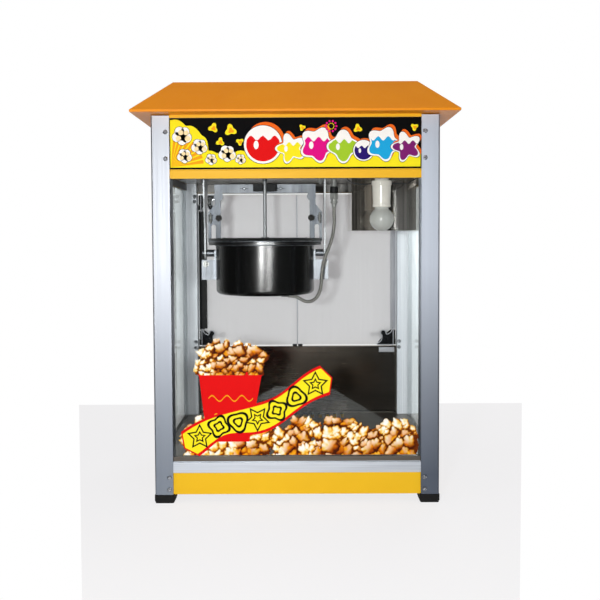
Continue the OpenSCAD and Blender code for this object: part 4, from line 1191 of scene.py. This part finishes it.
def paintedPopcorn(kernels, cell, clipLow, seed):
    # each kernel is a cluster of puffed lobes over a brown hull; the nearest shows, lit from the upper left
    nothing, margin = -99.0, 30
    xs, ys = [k[0] for k in kernels], [k[1] for k in kernels]
    x0, x1, y0, y1 = min(xs) - margin, max(xs) + margin, clipLow, max(ys) + margin
    columns, rows = int((x1 - x0) / cell) + 1, int((y1 - y0) / cell) + 1
    gx, gy = np.meshgrid(x0 + cell * np.arange(columns), y0 + cell * np.arange(rows))
    height = np.full(gx.shape, nothing)
    light = np.zeros(gx.shape)
    brown = np.zeros(gx.shape)
    dice = random.Random(seed)
    for x, y, size, depth in kernels:
        facing, lobes = kernelLobes(dice)
        for a, b, c, lift in lobes:
            r, tilt, flat = size * c, dice.uniform(0, 3.14), dice.uniform(0.62, 0.95)
            dx, dy = gx - x - a * size, gy - y - b * size
            u = (dx * math.cos(tilt) + dy * math.sin(tilt)) / r
            v = (dy * math.cos(tilt) - dx * math.sin(tilt)) / (r * flat)
            wave = dice.uniform(0, 6.28)
            angle = np.arctan2(v, u)
            frill = 0.2 * np.sin(2 * angle + wave) + 0.16 * np.sin(5 * angle - wave)
            frill += 0.1 * np.sin(9 * angle + 2 * wave)
            d = (u * u + v * v) * (1 + frill)
            rise = np.sqrt(np.clip(1 - d, 0, 1))
            here = depth + lift + 0.8 * r * rise
            seen = (d < 1) & (here > height)
            shade = 0.12 + 0.44 * rise - 0.3 * dx / r + 0.42 * dy / r
            fold = 0.16 * np.sin(3.2 * u + wave) * np.sin(2.7 * v - wave)
            fold += 0.1 * np.sin(7 * u - wave) * np.sin(6 * v + wave)
            if facing:
                far = np.sqrt((gx - x) ** 2 + (gy - y) ** 2) / size
                hull = np.clip(1.7 - 1.6 * far + 1.2 * fold, dice.choice((0, 0, 0.1, 0.5)), 1)
            else:
                hull = np.clip(0.3 - 0.5 * rise + fold, 0, 0.6)
            height[seen] = here[seen]
            light[seen] = (shade + fold)[seen]
            brown[seen] = hull[seen]
    near = np.where(height > nothing, height, np.nan)
    crease = np.zeros(gx.shape)
    for dy, dx in ((0, 2), (2, 0), (0, -2), (-2, 0), (0, 4), (4, 0), (0, -4), (-4, 0)):
        other = np.roll(np.roll(near, dy, 0), dx, 1)
        crease += np.clip(np.nan_to_num(other - near, nan=0.0), 0, 8) / 8
    tone = np.clip(light - 0.24 * crease, 0, 1)
    colour = np.ones(gx.shape + (4,))
    for index, (pale, dark) in enumerate(zip(toned(tone, flesh), toned(tone, toffee))):
        colour[..., index] = pale * (1 - brown) + dark * brown
    shown = height > nothing
    quads = shown[:-1, :-1] & shown[1:, :-1] & shown[:-1, 1:] & shown[1:, 1:]
    used = np.zeros(gx.shape, bool)
    for a, b in ((0, 0), (1, 0), (0, 1), (1, 1)):
        used[a:rows - 1 + a, b:columns - 1 + b] |= quads
    names = -np.ones(gx.shape, int)
    names[used] = np.arange(used.sum())
    points = [(float(a), float(b)) for a, b in zip(gx[used], gy[used])]
    around = (names[:-1, :-1], names[:-1, 1:], names[1:, 1:], names[1:, :-1])
    faces = [tuple(int(i) for i in face) for face in zip(*(corner[quads] for corner in around))]
    return points, faces, [tuple(c) for c in colour[used]]


def ribbonAt(settings, t):
    # the middle of the ribbon, and the direction across it
    (x0, y0), (x1, y1) = settings["ribbonStart"], settings["ribbonEnd"]
    wave, turns = settings["ribbonWave"], 2 * math.pi * settings["ribbonTurns"]
    along = Vector((x1 - x0, y1 - y0 + wave * turns * math.cos(turns * t))).normalized()
    return x0 + (x1 - x0) * t, y0 + (y1 - y0) * t + wave * math.sin(turns * t), -along.y, along.x


def ribbonOutline(settings, half):
    upper, lower = [], []
    for t in (k / 48 for k in range(49)):
        x, y, u, v = ribbonAt(settings, t)
        room = half * (0.9 + 0.1 * math.cos(4 * math.pi * t))
        upper.append((x + u * room, y + v * room))
        lower.append((x - u * room, y - v * room))
    # a blunt tip at each end stands out by half the ribbon's half width
    tips = []
    for (a, b), (c, d), sign in ((upper[-1], lower[-1], 1), (upper[0], lower[0], -1)):
        x, y = (a + c) / 2, (b + d) / 2
        tips.append((x + sign * 0.5 * (b - y), y - sign * 0.5 * (a - x)))
    return upper + [tips[0]] + lower[::-1] + [tips[1]]


def makeTransfer(settings):
    page = Print(lambda u, v, w: (u, settings["face"] - w, v))
    dice = random.Random(21)
    left, right, cell = settings["left"], settings["right"], settings["cell"]
    kernels = []
    for row, (high, size, count) in enumerate(paneRows):
        for n in range(count):
            x = left + 12 + (right - left - 24) * (n + dice.uniform(-0.3, 0.3)) / (count - 1)
            swell = 7 * math.sin(x / 31) + 5 * math.sin(x / 13 + 1)
            y = settings["low"] + high + (swell if row == 0 else swell * 0.4) + dice.uniform(-3, 3)
            reach = size * dice.uniform(0.85, 1.1)
            kernels.append((min(max(x, left + reach), right - reach), y, reach, 14 * row))
    page.grid(*paintedPopcorn(kernels, cell, settings["low"], 7))
    (tl, tr), (fl, fr) = settings["tubTop"], settings["tubFoot"]
    high, low = settings["tubHigh"], settings["tubLow"]
    middle = (tl + tr) / 2
    page.lay([(fl, low), (fr, low), (tr, high), (tl, high)], "red")
    for level, span in ((0.62, 0.7), (0.36, 0.55)):
        y, half = low + (high - low) * level, (tr - tl) * span / 2
        wave = [(middle + half * (k / 30 - 1), y + 5 * math.sin(k / 10 * math.pi)) for k in range(61)]
        page.lay([(x, v + 1.1) for x, v in wave] + [(x, v - 1.1) for x, v in wave[::-1]], "amber")
    rim = [(tl - 2, high + 3), (tr + 2, high + 3)]
    for k in range(61):
        rim.append((tr + 2 - (tr - tl + 4) * k / 60, high - 5 - 3 * abs(math.sin(math.pi * k / 5))))
    page.lay(rim, "red")
    heap = []
    for row, (rise, half, count, size) in enumerate(tubRows):
        for n in range(count):
            x = middle + half * (2 * n / (count - 1) - 1) + dice.uniform(-3, 3)
            heap.append((x, high + rise + dice.uniform(-3, 3), size * dice.uniform(0.85, 1.1), 12 * row))
    page.grid(*paintedPopcorn(heap, cell, high - 6, 11))
    for inset, ink in ((0, "red"), (5, "yellow")):
        page.lay(ribbonOutline(settings, settings["ribbonHalf"] - inset), ink)
    for k in range(settings["motifs"]):
        x, y, u, v = ribbonAt(settings, (k + 0.5) / settings["motifs"])
        shapes = (
            lambda q: starOutline(x, y, q * 1.22, q * 0.62, 5, 90 + 12 * k),
            lambda q: petals(x, y, q * 1.1, 4, 0.14, k),
            lambda q: petals(x, y, q * 1.08, 3, 0.13, 2 + k),
        )
        for size, ink in ((19.5, "black"), (15.2, "yellow"), (9.4, "black"), (5.6, "yellow")):
            page.lay(shapes[k % 3](size), ink)
    page.finish("paneTransfer")


makeTransfer(transfer)
print("popcorn maker: prints made")

# Floor, backdrop and lights
studio = {
    "farEdge": (0.605, -0.618, 0.626), "nearEdge": (-1.2, -0.075, 0.092),
    "floorTone": tint(251, 250, 251), "floorGlow": 0.8, "floorEcho": 0.4, "floorLit": (0.86, 0.86, 0.86, 1),
    "fill": 0.22, "roomBehindCamera": 0.035, "roomBehindCabinet": 0.9,
}
# place, target, size, power, and whether it only lights without a highlight
lights = {
    "flash": ((-0.22, -1.52, 0.47), (-0.03, 0, 0.42), 0.12, 12.5, False),
    "frontFill": ((0.3, -2.4, 1.0), (0, 0, 0.4), 1.4, 4, True),
    "insideFill": ((0.12, -1.25, 0.5), (-0.05, 0.15, 0.42), 0.3, 17, True),
    "leftSoft": ((-1.9, -1.1, 0.9), (0, 0, 0.35), 1.0, 5, True),
    "rightSoft": ((1.9, -1.1, 0.9), (0, 0, 0.35), 1.0, 3, True),
    "topSoft": ((0, -0.3, 2.2), (0, 0, 0.5), 1.4, 4, True),
    "backSoft": ((0.9, 2.2, 1.3), (0, 0, 0.4), 1.4, 22, True),
    "kettleGleam": ((0.22, -1.5, 0.47), (-0.06, 0, 0.4), 0.3, 9, False),
    "postSoft": ((0.55, -1.6, 0.66), (0.24, -0.17, 0.56), 0.35, 1.6, False),
}
# lights that reach only some nodes, or that spare some
linked = {
    "flash": ("EXCLUDE", "front_glass", "front_lid", "rear_lid", "ceiling_plate"),
    "insideFill": (
        "INCLUDE", "left_rear_post", "right_rear_post", "left_hanger", "right_hanger",
        "kettle_yoke", "kettle_brackets", "ceiling_plate", "lamp_wires",
    ),
    "postSoft": ("INCLUDE", "right_front_post"),
    "kettleGleam": ("INCLUDE", "kettle_jacket", "kettle_pan"),
}


def makeLight(name, place, target, size, power, diffuseOnly):
    data = bpy.data.lights.new(name, "AREA")
    data.energy, data.size = power, size
    light = addObject(name, data)
    light.location = place
    light.rotation_mode = "QUATERNION"
    light.rotation_quaternion = (Vector(target) - Vector(place)).to_track_quat("-Z", "Y")
    light.visible_glossy = not diffuseOnly
    if name in linked:
        state, *names = linked[name]
        chosen = bpy.data.collections.new(name)
        for node in names:
            chosen.objects.link(nodes[node])
        light.light_linking.receiver_collection = chosen
        for entry in chosen.collection_objects:
            entry.light_linking.link_state = state


def makeFloor(settings):
    near, nearLeft, nearRight = settings["nearEdge"]
    far, farLeft, farRight = settings["farEdge"]
    mesh = bpy.data.meshes.new("floor")
    corners = [(nearLeft, near, 0), (nearRight, near, 0), (farRight, far, 0), (farLeft, far, 0)]
    mesh.from_pydata(corners, [], [(0, 1, 2, 3)])
    recipe = Recipe("pale floor")
    seen, glossy, through = recipe.rays()
    shown = (seen + glossy * settings["floorEcho"] + through).math("MINIMUM", 1) * settings["floorGlow"]
    lit = recipe.node("BsdfDiffuse", None, {"Color": settings["floorLit"]})
    glow = recipe.node("Emission", None, {"Color": settings["floorTone"], "Strength": 1.0})
    mesh.materials.append(recipe.done(recipe.blend(shown, lit, glow)))
    addObject("floor", mesh)


def makeWorld(settings):
    world = bpy.data.worlds.new("studio")
    world.use_nodes = True
    bpy.context.scene.world = world
    recipe = Recipe("studio", world.node_tree)
    seen, glossy, through = recipe.rays()
    toward = recipe.node("TexCoord", output="Generated")
    back = recipe.vector("DOT_PRODUCT", toward, (0, 1, 0), output="Value")
    room = recipe.spread(back, settings["roomBehindCamera"], settings["roomBehindCabinet"], 0.2, 0.75)
    shown = (seen + through).math("MINIMUM", 1)
    level = glossy * room + (1 - glossy) * settings["fill"]
    strength = shown + (1 - shown) * level
    glow = recipe.node("Background", None, {"Color": (1, 1, 1, 1), "Strength": strength})
    recipe.node("OutputWorld", None, {"Surface": glow})


makeFloor(studio)
makeWorld(studio)
for name, values in lights.items():
    makeLight(name, *values)
bpy.context.scene.view_settings.view_transform = "Standard"

print("popcorn maker: done")
